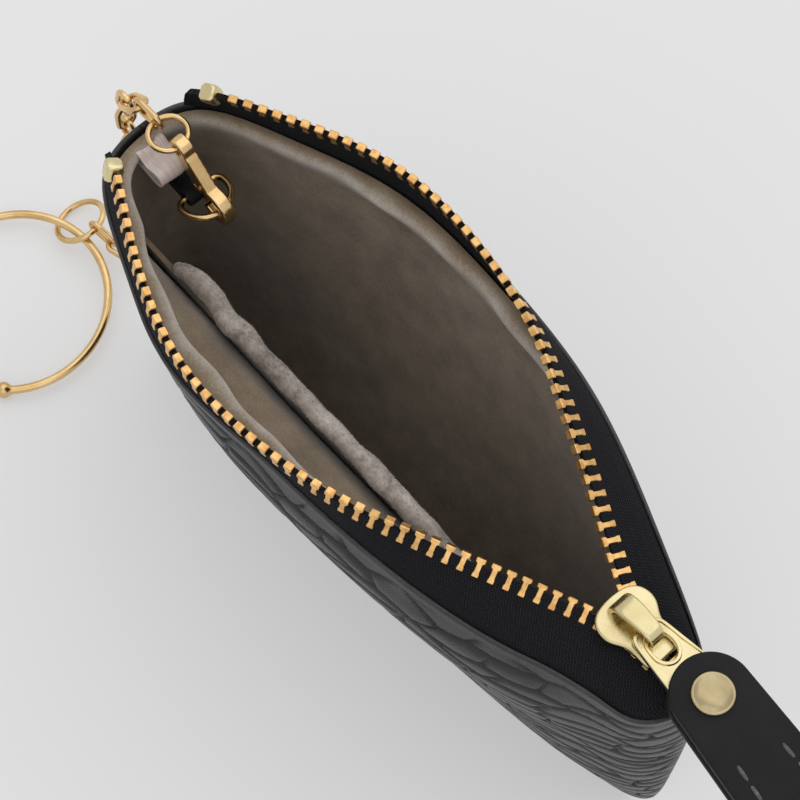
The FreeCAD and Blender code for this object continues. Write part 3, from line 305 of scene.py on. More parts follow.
def scales(along, up, seed, length=10.5, height=3.5):
    """(groove, dome) from 0 to 1 at points of the leather: jittered cells in bricked rows, waved a little."""
    squeeze = height / length
    x = (along + 2.2 * np.sin(up / 7.0 + seed) + 1.1 * np.sin(up / 2.6 + along / 17.0)) * squeeze
    y = (up + 1.1 * np.sin(along / 13.0 + seed) + 0.6 * np.sin(along / 5.1 + up / 9.0)
         + 0.3 * np.sin(along / 2.3 + up / 4.0))
    row0, column0 = np.floor(y / height), np.floor(x / height)

    def centre(step_row, step_column):
        """The jittered centre of the cell that lies some rows and columns away."""
        row, column = row0 + step_row, column0 + step_column
        across, down = cell_shares(column, row, seed)
        return ((column + 0.5 + 0.5 * (row % 2 - 0.5) + 0.95 * (across - 0.5)) * height,
                (row + 0.5 + 0.8 * (down - 0.5)) * height)

    steps = [(row, column) for row in (-1, 0, 1, 2, -2) for column in (-1, 0, 1, 2, -2)]
    nearest = np.full(x.shape, np.inf)
    near_x, near_y = np.zeros(x.shape), np.zeros(x.shape)
    for step in steps:
        cx, cy = centre(*step)
        distance = np.hypot(cx - x, cy - y)
        closer = distance < nearest
        nearest = np.where(closer, distance, nearest)
        near_x, near_y = np.where(closer, cx, near_x), np.where(closer, cy, near_y)
    edge = np.full(x.shape, np.inf)
    for step in steps:
        cx, cy = centre(*step)
        dx, dy = cx - near_x, cy - near_y
        apart = np.hypot(dx, dy)
        other = apart > 1e-6
        apart = np.where(other, apart, 1)
        dx, dy = dx / apart, dy / apart
        reach = ((near_x + cx) / 2 - x) * dx + ((near_y + cy) / 2 - y) * dy
        reach = reach / np.hypot(dx * squeeze, dy)
        edge = np.where(other, np.minimum(edge, reach), edge)
    width = 0.36 + 0.14 * np.sin(along / 3.7 + up / 2.9 + seed)
    groove = np.exp(-(np.maximum(edge, 0) / width) ** 2)
    dome = 1 - np.exp(-np.maximum(edge, 0) / 0.9)
    return groove, dome


def outward(points):
    """Unit normals of a grid from its two running directions."""
    normal = np.cross(np.gradient(points, axis=0), np.gradient(points, axis=1))
    return normal / np.maximum(np.linalg.norm(normal, axis=-1, keepdims=True), 1e-9)


# %% Leather finish
def leather(name, colour, worn, roughness, grain, strength, shine=0.5):
    """Leather with fine creases and pores; grooves that the mesh carries are duller, and painted shade makes
    them darker.
    """
    material, tree, shader, place = new_finish(name, colour, roughness, Specular_IOR_Level=shine)
    depth = kept(tree, "groove")["X"]
    cloud = noise(tree, place, 90.0, 4.0)
    # painted shade: the colour runs darker along the grooves the mesh carries, and the clouds add random tone
    shade = count(tree, "SUBTRACT", cloud, count(tree, "MULTIPLY", depth, 0.5))
    # the darkest stop is both the grooves' painted shade and the darkest random tone
    dark_tone_and_groove_shade = (*[c * 0.45 for c in colour[:3]], 1)
    paint(tree, shader, shade, (0.0, dark_tone_and_groove_shade), (0.45, colour), (0.8, worn))
    dull = between(tree, count(tree, "ADD", cloud, depth), roughness - 0.06, roughness + 0.2, 0.3, 1.6)
    tree.links.new(dull, shader.inputs["Roughness"])
    crease = add(tree, "TexVoronoi", {"Vector": place, "Scale": grain, "Randomness": 1.0},
                 feature="DISTANCE_TO_EDGE").outputs["Distance"]
    fine = noise(tree, place, grain * 1.7, 5.0, 0.65)
    height = count(tree, "ADD", between(tree, crease, 0.0, 0.5, 0.0, 0.25), fine)
    raise_grain(tree, shader, height, strength, 0.0002)
    return material


scaled_leather = leather("scaled_leather", screen(40, 39, 41), screen(62, 61, 63), 0.40, 1500.0, 0.35)
plain_leather = leather("plain_leather", screen(24, 23, 25), screen(34, 33, 35), 0.55, 1900.0, 0.5, 0.2)


# %% Panels
def panel(name, side, seed):
    """A leather wall with its half of the base, its rolled edge and its thickness, scales pressed in."""
    along = line((0, 1, 360))
    roll = np.linspace(0, np.pi, 7)
    outer = line((0, 69.45, 195))
    shown = slice(5, 200)
    height = np.concatenate([np.zeros(5), outer, 69.5 + 0.5 * np.sin(roll),
                             line((69.0, LEATHER, 12)), np.full(4, LEATHER)])
    inset = np.concatenate([np.zeros(200), 0.45 - 0.45 * np.cos(roll),
                            line((0.95, LEATHER, 3)), np.full(13, LEATHER)])
    to_seam = np.concatenate([line((1, 0.2, 5)), np.zeros(214), line((0.25, 1, 4))])
    points = wall(along, height, inset, side, to_seam)
    face = points[:, shown]
    run = run_length(face[:, 120])
    groove, dome = scales(*np.broadcast_arrays(run[:, None], outer), seed)
    ends = np.clip(np.minimum(run, run[-1] - run) / 2.5, 0, 1)[:, None]
    band = ends * np.clip((68.6 - outer) / 1.6, 0, 1) * np.clip(outer / 2.0, 0, 1)
    normal = outward(face)
    normal *= np.sign((normal * (0, side, 0)).sum(axis=(0, 1)).sum())
    points[:, shown] += normal * (band * (0.16 * dome - 0.5 * groove))[..., None]
    # the groove mask is kept for the finish, which makes the grooves duller and gives them painted shade
    marks = np.zeros(points.shape)
    marks[:, shown, 0] = groove * band
    made = piece(name + "_leather", [skin(points, groove=marks)], scaled_leather, "case",
                 [name + "_panel"], sharp=170, soft=True)


panel("front", FRONT, 1.0)
panel("back", BACK, 4.0)

# %% [markdown]
# ## Suede lining
# Inside, a thin suede follows the leather. Below the zip tape its edge is turned over into a soft roll
# that stands into the mouth and catches the light. Hairs all over would be heavy, so the nap is in the
# finish, and the roll is painted paler where it stands in, as a painted highlight. The front lining
# hangs loose behind the pocket.
# %% Suede finish
def suede(name, dark, middle, light, pile, strength):
    """Brushed suede: clouds of lighter and darker nap, short fibres, and a painted highlight, paler where the
    mesh marks the roll.
    """
    material, tree, shader, place = new_finish(name, middle, 0.95, Specular_IOR_Level=0.15,
                                               Sheen_Weight=0.35, Sheen_Roughness=0.6)
    cloud = noise(tree, place, 160.0, 4.0, 0.6)
    fibre = noise(tree, place, pile, 4.0, 0.7)
    nap = count(tree, "ADD", count(tree, "MULTIPLY", cloud, 0.55), count(tree, "MULTIPLY", fibre, 0.45))
    # painted highlight: where the roll stands into the mouth the colour runs paler, up to the pale stop
    shade = count(tree, "ADD", nap, count(tree, "MULTIPLY", kept(tree, "rub")["X"], 0.4))
    pale = (*[0.55 * c + 0.35 for c in light[:3]], 1)
    paint(tree, shader, shade, (0.34, dark), (0.5, middle), (0.66, light), (1.0, pale))
    raise_grain(tree, shader, nap, strength, 0.0003)
    return material


lining_suede = suede("lining_suede", screen(94, 80, 62), screen(122, 105, 83), screen(142, 125, 102),
                     2600.0, 0.5)


# %% Linings
# shares of the way over the roll, heights there, and how far in it stands
ROLL = np.array(((0, 0.25, 0.5, 0.68, 0.8, 0.9, 1), (64.5, 66.4, 67.8, 68.8, 69.4, 69.65, 69.6),
                 (0, 0.42, 0.86, 1.0, 0.8, 0.45, 0)))
# heights of the loose lining, and how much of the room behind the pocket it fills
HANG = np.array(((9, 20, 30, 45, 54, 58, 61, 64.4), (0, 0.45, 0.7, 0.95, 1.0, 0.82, 0.5, 0)))
POCKET_ROOM = 1.3


def pocket_face(height):
    """Distance of the pocket's inner face off the middle plane: it leans out towards its upper edge."""
    return 4.0 + 4.4 * (height - 20.0) / 37.5


def lining(name, side, swell, slack=0.0):
    """A suede wall inside the leather: up its inner face, over the thick rolled edge, down its outer face.

    swell gives, at places along the mouth, how far the roll stands in from the wall. slack is how much of
    the room behind the pocket the loose sheet fills as it hangs in below its roll.
    """
    along = line((0, 1, 240))
    roll = np.linspace(0, 1, 18)
    roll_height, roll_in = (np.interp(roll, ROLL[0], values) for values in ROLL[1:])
    height = np.concatenate([np.full(4, LINING), line((LINING, 64, 46)), roll_height,
                             line((69.0, 1.4, 10)), np.full(4, 1.4)])
    depth = np.concatenate([np.full(50, LINING), line((LINING, 1.7, 18)), np.full(14, 1.4)])
    inward = np.concatenate([np.zeros(50), roll_in, np.zeros(14)])
    to_seam = np.concatenate([line((1, 0.25, 4)), np.zeros(74), line((0.25, 1, 4))])
    rim_x = wall(along, np.array([RIM]), LINING, side)[:, 0, :1]
    uneven = 1 + 0.14 * np.sin(rim_x / 5.0) + 0.1 * np.sin(rim_x / 2.3 + side)
    bulge = np.interp(rim_x, *swell) * uneven
    x = along[:, None] * 120
    wave = (np.sin(x / 9.0 + height / 13.0) + np.sin(x / 5.3 - height / 8.0 + 1.7)
            + np.sin(x / 21.0 + height / 6.0))
    calm = np.clip((66 - height) / 12, 0, 1) * np.clip(height / 12, 0, 1) * (depth >= LINING)
    points = wall(along, height, depth + bulge * inward + 0.13 * calm * wave, side, to_seam)
    off = side * wall(along, height, LINING, side)[..., 1]
    hang = slack * np.interp(height, *HANG)
    points[..., 1] -= side * hang * np.clip(off - pocket_face(height) - POCKET_ROOM, 0, None)
    # how far the roll stands in is kept on the mesh, and the finish paints it paler there as a painted
    # highlight
    rub = np.zeros(points.shape)
    rub[..., 0] = inward
    made = piece(name + "_suede", [skin(points, rub=rub)], lining_suede, "case",
                 [name + "_lining"], soft=True)


lining("front", FRONT, ((-60, -57, -50, -20, 10, 40, 60), (1.5, 2.2, 3.2, 2.7, 1.6, 0.8, 0.4)), 1.0)
lining("back", BACK, ((-60, -57, -48, 10, 40, 60), (1.0, 1.3, 2.2, 2.2, 1.2, 0.4)))

# %% [markdown]
# ## Slip pocket and its hem
# A sheet of the same suede is sewn across the front wall as a slip pocket. Its upper edge is turned over
# into a thick roll of grey pile. The roll is a lumpy tube, and short tapered hairs make its fuzzy edge.
# %% Pocket sheet
SIDE_GAP, POCKET_SHEET = 0.25, 0.8


def lining_ends(height, off):
    """Where the lining's inner face, left and right, stands at a distance off the middle plane."""
    curve = wall(np.linspace(0, 1, 600), np.array([height]), LINING, FRONT)[:, 0] * (1, FRONT, 1)
    top = int(curve[:, 1].argmax())
    left = np.interp(off, curve[:top, 1], curve[:top, 0])
    right = np.interp(off, curve[top:, 1][::-1], curve[top:, 0][::-1])
    return left + SIDE_GAP, right - SIDE_GAP


levels = np.linspace(8.5, 58.2, 24)
ends = np.array([lining_ends(level, pocket_face(level) + 1.0) for level in levels])
share = np.linspace(0, 1, 90)[:, None]
pocket_x = ends[:, 0] + (ends[:, 1] - ends[:, 0]) * share
sag = np.sin(np.pi * share) ** 0.8 * ((levels - levels[0]) / np.ptp(levels)) ** 2
pocket_y = -pocket_face(levels) - 0.25 * np.sin(pocket_x / 8.0 + levels / 11.0) * sag - 0.3 * sag
pocket_z = np.broadcast_to(levels, pocket_x.shape)
near = np.stack([pocket_x, pocket_y, pocket_z], -1)
far = np.stack([pocket_x, pocket_y - POCKET_SHEET, pocket_z], -1)[:, ::-1]
pocket = piece("pocket_suede", [skin(np.concatenate([near, far], axis=1))], lining_suede, "case",
               ["slip_pocket"], soft=True)

# %% Hem
hem_pile = suede("hem_pile", screen(118, 108, 98), screen(168, 158, 149), screen(200, 191, 183), 900.0, 0.8)
HEM_LEFT, HEM_RIGHT, HAIRS = -43.4, 46.1, 5200
rng = np.random.default_rng(7)


def hem_point(x, angle, lift=0.0):
    """A point of the roll: a round section whose size swells and shrinks along a slightly bent path."""
    crumple = np.clip((-24.0 - x) / 12.0, 0, 1)
    lump = np.sin(x / 1.6) + np.sin(x / 2.7 + 2 * angle) + np.sin(x / 1.1 - angle + 1.0)
    lump = lump * (0.08 + 0.1 * crumple)
    tip = np.sqrt(np.clip((x - HEM_LEFT) / 1.6, 0, 1) * np.clip((HEM_RIGHT - x) / 1.6, 0, 1))
    size = (1.52 + 0.12 * np.sin(x / 7.0) + lump + lift) * (0.15 + 0.85 * tip)
    y = -8.6 - 0.014 * x + 0.2 * np.sin(x / 9.0 + 1.0) + 0.45 * crumple * np.sin(x / 2.1)
    z = 59.3 + 0.15 * np.sin(x / 9.0) - 0.35 * crumple * np.cos(x / 1.7)
    return np.stack([x + 0 * angle, y + size * np.cos(angle), z + size * np.sin(angle)], -1)


hem_x = np.linspace(HEM_LEFT + 0.1, HEM_RIGHT - 0.1, 420)[:, None]
turn = np.linspace(0, 2 * np.pi, 36, endpoint=False)
nap = rng.normal(0, 0.035, (len(hem_x), len(turn)))
hem_skin = skin(hem_point(hem_x, turn, nap))
hair_x = rng.uniform(HEM_LEFT + 0.6, HEM_RIGHT - 0.6, HAIRS)
hair_turn = rng.uniform(-0.6, np.pi + 0.6, HAIRS)
root = hem_point(hair_x, hair_turn, -0.05)
way = hem_point(hair_x + rng.normal(0, 0.25, HAIRS), hair_turn + rng.normal(0, 0.25, HAIRS),
                rng.uniform(0.1, 0.3, HAIRS)) - root
across = np.cross(way, rng.normal(0, 1, (HAIRS, 3)))
across *= 0.055 / np.linalg.norm(across, axis=1, keepdims=True)
hair = skin(np.array([[[0, 1, 0], [0, -0.5, 0.87], [0, -0.5, -0.87]], [[1, 0, 0]] * 3], float), caps=False)
third = np.cross(way, across) / np.linalg.norm(way, axis=1, keepdims=True)
hem = piece("pocket_hem_roll", [hem_skin, copies(hair, np.stack([root, way, across, third], 1))], hem_pile,
            "case", ["slip_pocket_hem"], soft=True)

# %% [markdown]
# ## Zip tape
# Each tape comes up out of the seam between leather and lining, bends over and ends in the edge that
# holds the teeth. It is a narrow sheet carried along the mouth. Its herringbone is too fine for the mesh,
# so every point keeps its place along and across the tape, and the finish weaves from those numbers.
# %% Tooth line
# shares of the half length and the half width, and of the height that the teeth reach over the rim
TOOTH_LINE = np.array((
    (-0.965, 0.318, 0.62), (-0.894, 0.394, 1.0), (-0.736, 0.610, 1.0), (-0.595, 0.780, 1.0),
    (-0.446, 0.907, 1.0), (-0.293, 0.953, 1.0), (-0.140, 0.932, 1.0), (0.008, 0.869, 0.98),
    (0.150, 0.763, 0.92), (0.284, 0.614, 0.80), (0.418, 0.458, 0.64), (0.547, 0.297, 0.45),
    (0.645, 0.178, 0.30), (0.711, 0.106, 0.235), (0.777, 0.066, 0.23), (0.810, 0.055, 0.23),
    (0.843, 0.053, 0.23), (0.876, 0.053, 0.23), (0.909, 0.053, 0.23), (0.985, 0.053, 0.23)))
OVER_RIM = 6.5


def curve_through(knots, amount):
    """Points of the natural cubic curve through knots, by chord length: its bends solve one linear system."""
    at = run_length(knots)
    step = np.diff(at)
    system = np.eye(len(at))
    inner = np.arange(1, len(at) - 1)
    system[inner, inner - 1] = step[:-1]
    system[inner, inner] = 2 * (step[:-1] + step[1:])
    system[inner, inner + 1] = step[1:]
    chord = np.diff(knots, axis=0) / step[:, None]
    bend = np.linalg.solve(system, np.concatenate([0 * chord[:1], 6 * np.diff(chord, axis=0), 0 * chord[:1]]))
    place = np.linspace(0, at[-1], amount)
    index = np.clip(np.searchsorted(at, place, side="right") - 1, 0, len(step) - 1)
    high, low, size = (place - at[index])[:, None], (at[index + 1] - place)[:, None], step[index][:, None]
    return ((bend[index] * low ** 3 + bend[index + 1] * high ** 3) / 6 / size
            + (knots[index] / size - bend[index] * size / 6) * low
            + (knots[index + 1] / size - bend[index + 1] * size / 6) * high)


tooth_line = curve_through(TOOTH_LINE * (HALF_LENGTH, -HALF_WIDTH, OVER_RIM) + (0, 0, RIM), 3000)
line_length = run_length(tooth_line)


def foot_of(x, side):
    """The foot of a tape on its rim at x along the mouth, as a distance across, drawn on the front."""
    return -np.interp(x, rim_lines[side][:, 0], side * rim_lines[side][:, 1])


print("tooth line", round(line_length[-1], 1), "mm")

# %% Woven finish
zip_tape, tree, shader, place = new_finish("zip_tape", screen(22, 22, 25), 0.85, Specular_IOR_Level=0.12,
                                           Sheen_Weight=0.02)
thread_place = kept(tree, "weave")
zigzag = count(tree, "PINGPONG", thread_place["Y"], 0.7)
slant = count(tree, "ADD", thread_place["X"], zigzag)
twill = count(tree, "SINE", count(tree, "MULTIPLY", slant, 13.0))
rib = count(tree, "SINE", count(tree, "MULTIPLY", thread_place["Y"], 16.0))
weave = count(tree, "ADD", count(tree, "MULTIPLY", twill, 0.5), count(tree, "MULTIPLY", rib, 0.2))
weave = count(tree, "ADD", weave, noise(tree, place, 3000.0))
paint(tree, shader, between(tree, weave, 0.0, 1.0, -0.3, 1.3),
      (0.1, screen(10, 10, 12)), (0.9, screen(40, 40, 44)))
raise_grain(tree, shader, weave, 0.9, 0.00015)


# %% Tapes
FOOT_HEIGHT = 68.8


def tape(name, side):
    """A tape: at each place along the mouth a bent section from its foot in the seam to the tooth line.

    The section is the curve foot, knee, edge with weights (1-t)^2, 2t(1-t), t^2, offset both ways; the
    edge carries a thicker cord, and the left end is rounded off.
    """
    length = np.linspace(0, line_length[-1], 300)
    edge = at_length(tooth_line, length)
    foot = np.stack([edge[:, 0], foot_of(edge[:, 0], side) + 0.75, np.full(len(length), FOOT_HEIGHT)], -1)
    knee = foot + (0, -0.35, 2.5)
    corner = np.clip(1 - length / 1.2, 0, 1)
    reach = 1 - 0.5 * (1 - np.sqrt(1 - corner ** 2))
    share = np.linspace(0, 1, 18) * reach[:, None]
    a, b, c = ((1 - share) ** 2)[..., None], (2 * share * (1 - share))[..., None], (share ** 2)[..., None]
    middle = a * foot[:, None] + b * knee[:, None] + c * edge[:, None]
    way = 2 * (1 - share)[..., None] * (knee - foot)[:, None] + 2 * share[..., None] * (edge - knee)[:, None]
    face = np.stack([0 * share, -way[..., 2], way[..., 1]], -1)
    face /= np.linalg.norm(face, axis=-1, keepdims=True)
    half = (0.3 + 0.2 * np.clip((share - 0.86) / 0.08, 0, 1))[..., None]
    points = np.concatenate([middle + face * half, (middle - face * half)[:, ::-1]], axis=1) * (1, -side, 1)
    steps = np.linalg.norm(np.diff(middle, axis=1), axis=-1)
    across = np.concatenate([np.zeros((len(length), 1)), np.cumsum(steps, axis=1)], axis=1)
    across = np.concatenate([across, across[:, ::-1]], axis=1)
    threads = np.stack([np.broadcast_to(length[:, None], across.shape), across, 0 * across], -1)
    made = piece(name + "_tape", [skin(points, weave=threads)], zip_tape, "case",
                 [name + "_zip_tape"], soft=True)


tape("front", FRONT)
tape("back", BACK)

# %% [markdown]
# ## Teeth and stops
# Every tooth is a small clip of brass over the tape's edge: a leg on the cloth and a wider head past it.
# Modelling each by hand would be slow and heavy, so one small bar is shaped once and copied down the line.
# %% Gold finishes
def gold(name, colour, shaded, roughness, lumps):
    """Polished plate: its colour and polish vary a little, as plated castings do."""
    material, tree, shader, place = new_finish(name, colour, roughness, 1.0)
    cloud = noise(tree, place, lumps, 3.0)
    paint(tree, shader, cloud, (0.3, shaded), (0.62, colour))
    fine = noise(tree, place, lumps * 9, 2.0)
    polish = between(tree, fine, roughness * 0.7, roughness * 1.5, 0.25, 0.75)
    tree.links.new(polish, shader.inputs["Roughness"])
    raise_grain(tree, shader, cloud, 0.12, 0.0002)
    return material


tooth_brass = gold("tooth_brass", screen(240, 196, 130), screen(210, 156, 92), 0.3, 900.0)
pale_gold = gold("pale_gold", screen(226, 212, 166), screen(206, 189, 140), 0.22, 160.0)
# a darker copy of the gold for the rivet's cap: painted dark reflection, as if the cap mirrored a dark room;
# its stem keeps the pale gold
rivet_gold_painted_dark = gold("rivet_gold_painted_dark", screen(188, 172, 134), screen(160, 144, 108), 0.22, 160.0)
warm_gold = gold("warm_gold", screen(232, 200, 146), screen(208, 170, 112), 0.20, 220.0)


# %% Rows of teeth
def bar(stations, sides=8, square=0.5):
    """A short bar along x: at each (x, half thickness, half width) a section between circle and square."""
    x, thick, wide = np.array(stations).T[..., None]
    angle = (np.arange(sides) + 0.5) * 2 * np.pi / sides
    c, s = np.cos(angle), np.sin(angle)
    return skin(np.stack([x + 0 * c, thick * np.sign(c) * np.abs(c) ** square,
                          wide * np.sign(s) * np.abs(s) ** square], -1))


def seats(length, side):
    """Origins and axes on the tape's edge: past the edge, off its face and along it."""
    point = at_length(tooth_line, length)
    way = at_length(tooth_line, length + 0.05) - at_length(tooth_line, length - 0.05)
    way /= np.linalg.norm(way, axis=1, keepdims=True)
    knee = np.stack([point[:, 0], foot_of(point[:, 0], side) + 0.35, np.full(len(length), RIM + 0.7)], -1)
    lean = point - knee
    past = lean - way * (lean * way).sum(1, keepdims=True)
    past /= np.linalg.norm(past, axis=1, keepdims=True)
    return np.stack([point, past, np.cross(way, past), way], 1) * (1, -side, 1)


PITCH = 2.3
tooth = bar(((-1.76, 0.5, 0.44), (-1.66, 0.62, 0.52), (-1.2, 0.64, 0.52), (-0.9, 0.64, 0.42),
             (0.3, 0.64, 0.42), (0.5, 0.62, 0.72), (0.95, 0.6, 0.74), (1.08, 0.48, 0.64)), square=0.2)
stop = bar(((-1.9, 1.0, 0.9), (-1.7, 1.35, 1.2), (-0.2, 1.45, 1.3), (0.9, 1.4, 1.3),
            (1.12, 1.2, 1.15), (1.2, 0.8, 0.8)))
stop_at = np.interp(0, tooth_line[:, 0] + 0.894 * HALF_LENGTH, line_length)
row_start = np.interp(51.95, tooth_line[:, 0], line_length)
for name, side, first in (("front", FRONT, row_start), ("back", BACK, row_start - PITCH / 2)):
    places = np.arange(first, stop_at + 2.4, -PITCH)
    piece(name + "_teeth", [copies(tooth, seats(places, side))], tooth_brass, "case",
          [name + "_zip_teeth"], sharp=28, soft=True)
stops = [copies(stop, seats(np.array([stop_at]), side)) for side in (FRONT, BACK)]
piece("top_stops", stops, pale_gold, "case", ["zip_top_stops"], soft=True)

# %% [markdown]
# ## Slider, bridge and pull
# The slider is a casting: two lobed plates joined by a wedge, with a broad bridge on top that runs down
# into the eye of the pull. Each is a smooth closed outline given thickness and a softened edge.
# %% Plates, strips and turned pieces
def drawn_in(corners, at):
    """Points of the even cubic curve that corners draw in, each from four corners with cubic weights."""
    index = at.astype(int)
    f = (at - index)[:, None]
    weights = ((1 - f) ** 3, 3 * f ** 3 - 6 * f ** 2 + 4, -3 * f ** 3 + 3 * f ** 2 + 3 * f + 1, f ** 3)
    return sum(weight * corners[(index + step) % len(corners)] for step, weight in enumerate(weights)) / 6


def closed_curve(corners, amount=160):
    """The even cubic curve that its corners draw in, round all of them."""
    corners = np.roll(np.array(corners, float), 1, axis=0)
    return drawn_in(corners, np.linspace(0, len(corners), amount, endpoint=False))


def open_curve(corners, amount=60):
    """The even cubic curve that its corners draw in, from the first corner to the last."""
    corners = np.array(corners, float)
    ends = np.concatenate([2 * corners[:1] - corners[1:2], corners, 2 * corners[-1:] - corners[-2:-1]])
    return drawn_in(ends, np.linspace(0, len(corners) - 1 - 1e-9, amount))


def both_sides(half):
    """A whole outline from the half on the +y side, going round once."""
    half = np.array(half, float)
    return np.concatenate([half, half[::-1] * (1, -1)])


def plate(outline, low, high, edge, dome=0.0):
    """A flat piece: rings from the middle of its underside, round its soft edge, to the middle of its top."""
    run = np.roll(outline, -1, 0) - np.roll(outline, 1, 0)
    aside = np.stack([run[:, 1], -run[:, 0]], -1) / np.linalg.norm(run, axis=1, keepdims=True)
    area = (outline[:, 0] * np.roll(outline[:, 1], -1) - outline[:, 1] * np.roll(outline[:, 0], -1)).sum()
    out = aside * np.sign(area)
    middle = outline.mean(0)
    flat = outline - out * edge
    bend = np.linspace(0, np.pi / 2, 5)[:, None, None]
    under = middle + (flat - middle) * np.array([0, 0.5, 0.9])[:, None, None]
    over_share = np.array([0.9, 0.7, 0.5, 0.25, 0])[:, None, None]
    rings = np.concatenate([under,
                            outline - out * edge * (1 - np.sin(bend)),
                            outline - out * edge * (1 - np.cos(bend)),
                            middle + (flat - middle) * over_share])
    bend = bend[:, 0, 0]
    heights = np.concatenate([np.full(3, low),
                              low + edge * (1 - np.cos(bend)),
                              high - edge * (1 - np.sin(bend)),
                              high + dome * (1 - over_share[:, 0, 0] ** 2)])
    z = np.broadcast_to(heights[:, None, None], (*rings.shape[:2], 1))
    return skin(np.concatenate([rings, z], -1), caps=False)


def strip(path, across, half_width, half_thick, sides=16, square=0.35, loop=False):
    """A rounded strip carried along a path, its width along one fixed direction."""
    across = np.array(across, float)
    if loop:
        way = np.roll(path, -1, 0) - np.roll(path, 1, 0)
    else:
        way = np.gradient(path, axis=0)
    off = np.cross(way, across)
    off /= np.linalg.norm(off, axis=1, keepdims=True)
    angle = (np.arange(sides) + 0.5) * 2 * np.pi / sides
    c, s = np.cos(angle), np.sin(angle)
    c, s = np.sign(c) * np.abs(c) ** square, np.sign(s) * np.abs(s) ** square
    wide = np.broadcast_to(half_width, len(path))[:, None, None]
    thick = np.broadcast_to(half_thick, len(path))[:, None, None]
    return skin(path[:, None] + across * wide * c[:, None] + off[:, None] * thick * s[:, None], loop)


def wire(path, across, radius, loop=True, sides=14):
    """Round wire along a flat path whose plane has the direction across as its normal."""
    return strip(path, across, radius, radius, sides, 1.0, loop)


def turned(profile, sides=64):
    """A piece turned round z from its (radius, height) profile."""
    radius, height = np.array(profile, float).T[..., None]
    angle = np.arange(sides) * 2 * np.pi / sides
    points = np.stack([radius * np.cos(angle), radius * np.sin(angle), height + 0 * angle], -1)
    return skin(points, caps=False)


def placed(part, origin, x_axis=(1, 0, 0), y_axis=(0, 1, 0)):
    """A skin moved from its own frame into the case's."""
    points, faces, values = part
    axes = np.array([x_axis, y_axis, np.cross(x_axis, y_axis)], float)
    return points @ axes + np.array(origin, float), faces, values


# %% Slider
SLIDER = (42.0, 0.0, 71.495)
FLANGE = np.array(((3.8, 4.0), (3.8, 4.4), (6.4, 3.2), (9.4, 3.0), (9.4, 2.6), (6.4, 2.7)))
lobes = closed_curve(both_sides(((-0.25, 0.8), (0.0, 2.6), (0.9, 4.2), (2.8, 4.9), (4.6, 4.6), (6.0, 3.5),
                                 (7.4, 3.1), (9.2, 3.2), (10.8, 3.1), (11.2, 2.2), (11.1, 0.8))))
wedge = closed_curve(both_sides(((0.1, 0.15), (0.9, 0.6), (2.7, 0.1))), 40)
slider = [plate(lobes, 1.45, 2.35, 0.4, 0.05), plate(lobes, -2.35, -1.45, 0.4), plate(wedge, -1.6, 1.6, 0.05)]
for side in (1, -1):
    flange = closed_curve(FLANGE * (1, side), 60)
    slider += [plate(flange, 0.85, 1.6, 0.1), plate(flange, -1.6, -0.85, 0.1)]
piece("slider_casting", [placed(part, SLIDER) for part in slider], pale_gold, "slider",
      ["slider_body"])

bridge = open_curve(((1.3, 2.0), (1.35, 3.4), (2.0, 5.3), (4.0, 5.95), (6.4, 5.98), (8.3, 5.9),
                     (8.85, 4.6), (8.8, 3.2), (8.8, 2.2)))
bridge = np.stack([bridge[:, 0], 0 * bridge[:, 0], bridge[:, 1]], -1)
bridge_half = np.interp(np.linspace(0, 1, 60), (0, 0.35, 0.7, 1), (1.75, 1.7, 1.2, 1.05))
piece("slider_bridge", [placed(strip(bridge, (0, 1, 0), bridge_half, 0.5), SLIDER)], pale_gold,
      "slider", ["slider_crown"])


# %% Pull
def by_angle(outline, centre, angles):
    """Points where rays from a centre meet an outline."""
    off = outline - centre
    turn = np.unwrap(np.arctan2(off[:, 1], off[:, 0]))
    reach = np.linalg.norm(off, axis=1)
    order = np.argsort(turn % (2 * np.pi))
    distance = np.interp(angles, (turn % (2 * np.pi))[order], reach[order], period=2 * np.pi)
    return centre + distance[:, None] * np.stack([np.cos(angles), np.sin(angles)], -1)


def washer(outer, inner, low, high, edge, rim, recess):
    """A flat ring between two outlines: round edges, raised rims on top and a lower floor between them."""
    gap = np.linalg.norm(outer - inner, axis=1)[:, None]
    bend = np.linspace(0, np.pi / 2, 4)
    curl, rise = edge * (1 - np.sin(bend)), edge * (1 - np.cos(bend))
    near = np.concatenate([curl, curl[::-1], [rim, rim + 0.15]])
    near_z = np.concatenate([low + rise, high - rise[::-1], [high, high - recess]])
    room = gap.clip(2.6 * (rim + 0.15))
    share = np.concatenate([near / room, 1 - near[::-1] / room], 1)
    z = np.concatenate([near_z, near_z[::-1]])
    flat = inner[:, None] + (outer - inner)[:, None] * share[..., None]
    return skin(np.concatenate([flat, np.broadcast_to(z[None, :, None], (*share.shape, 1))], -1), loop=True)


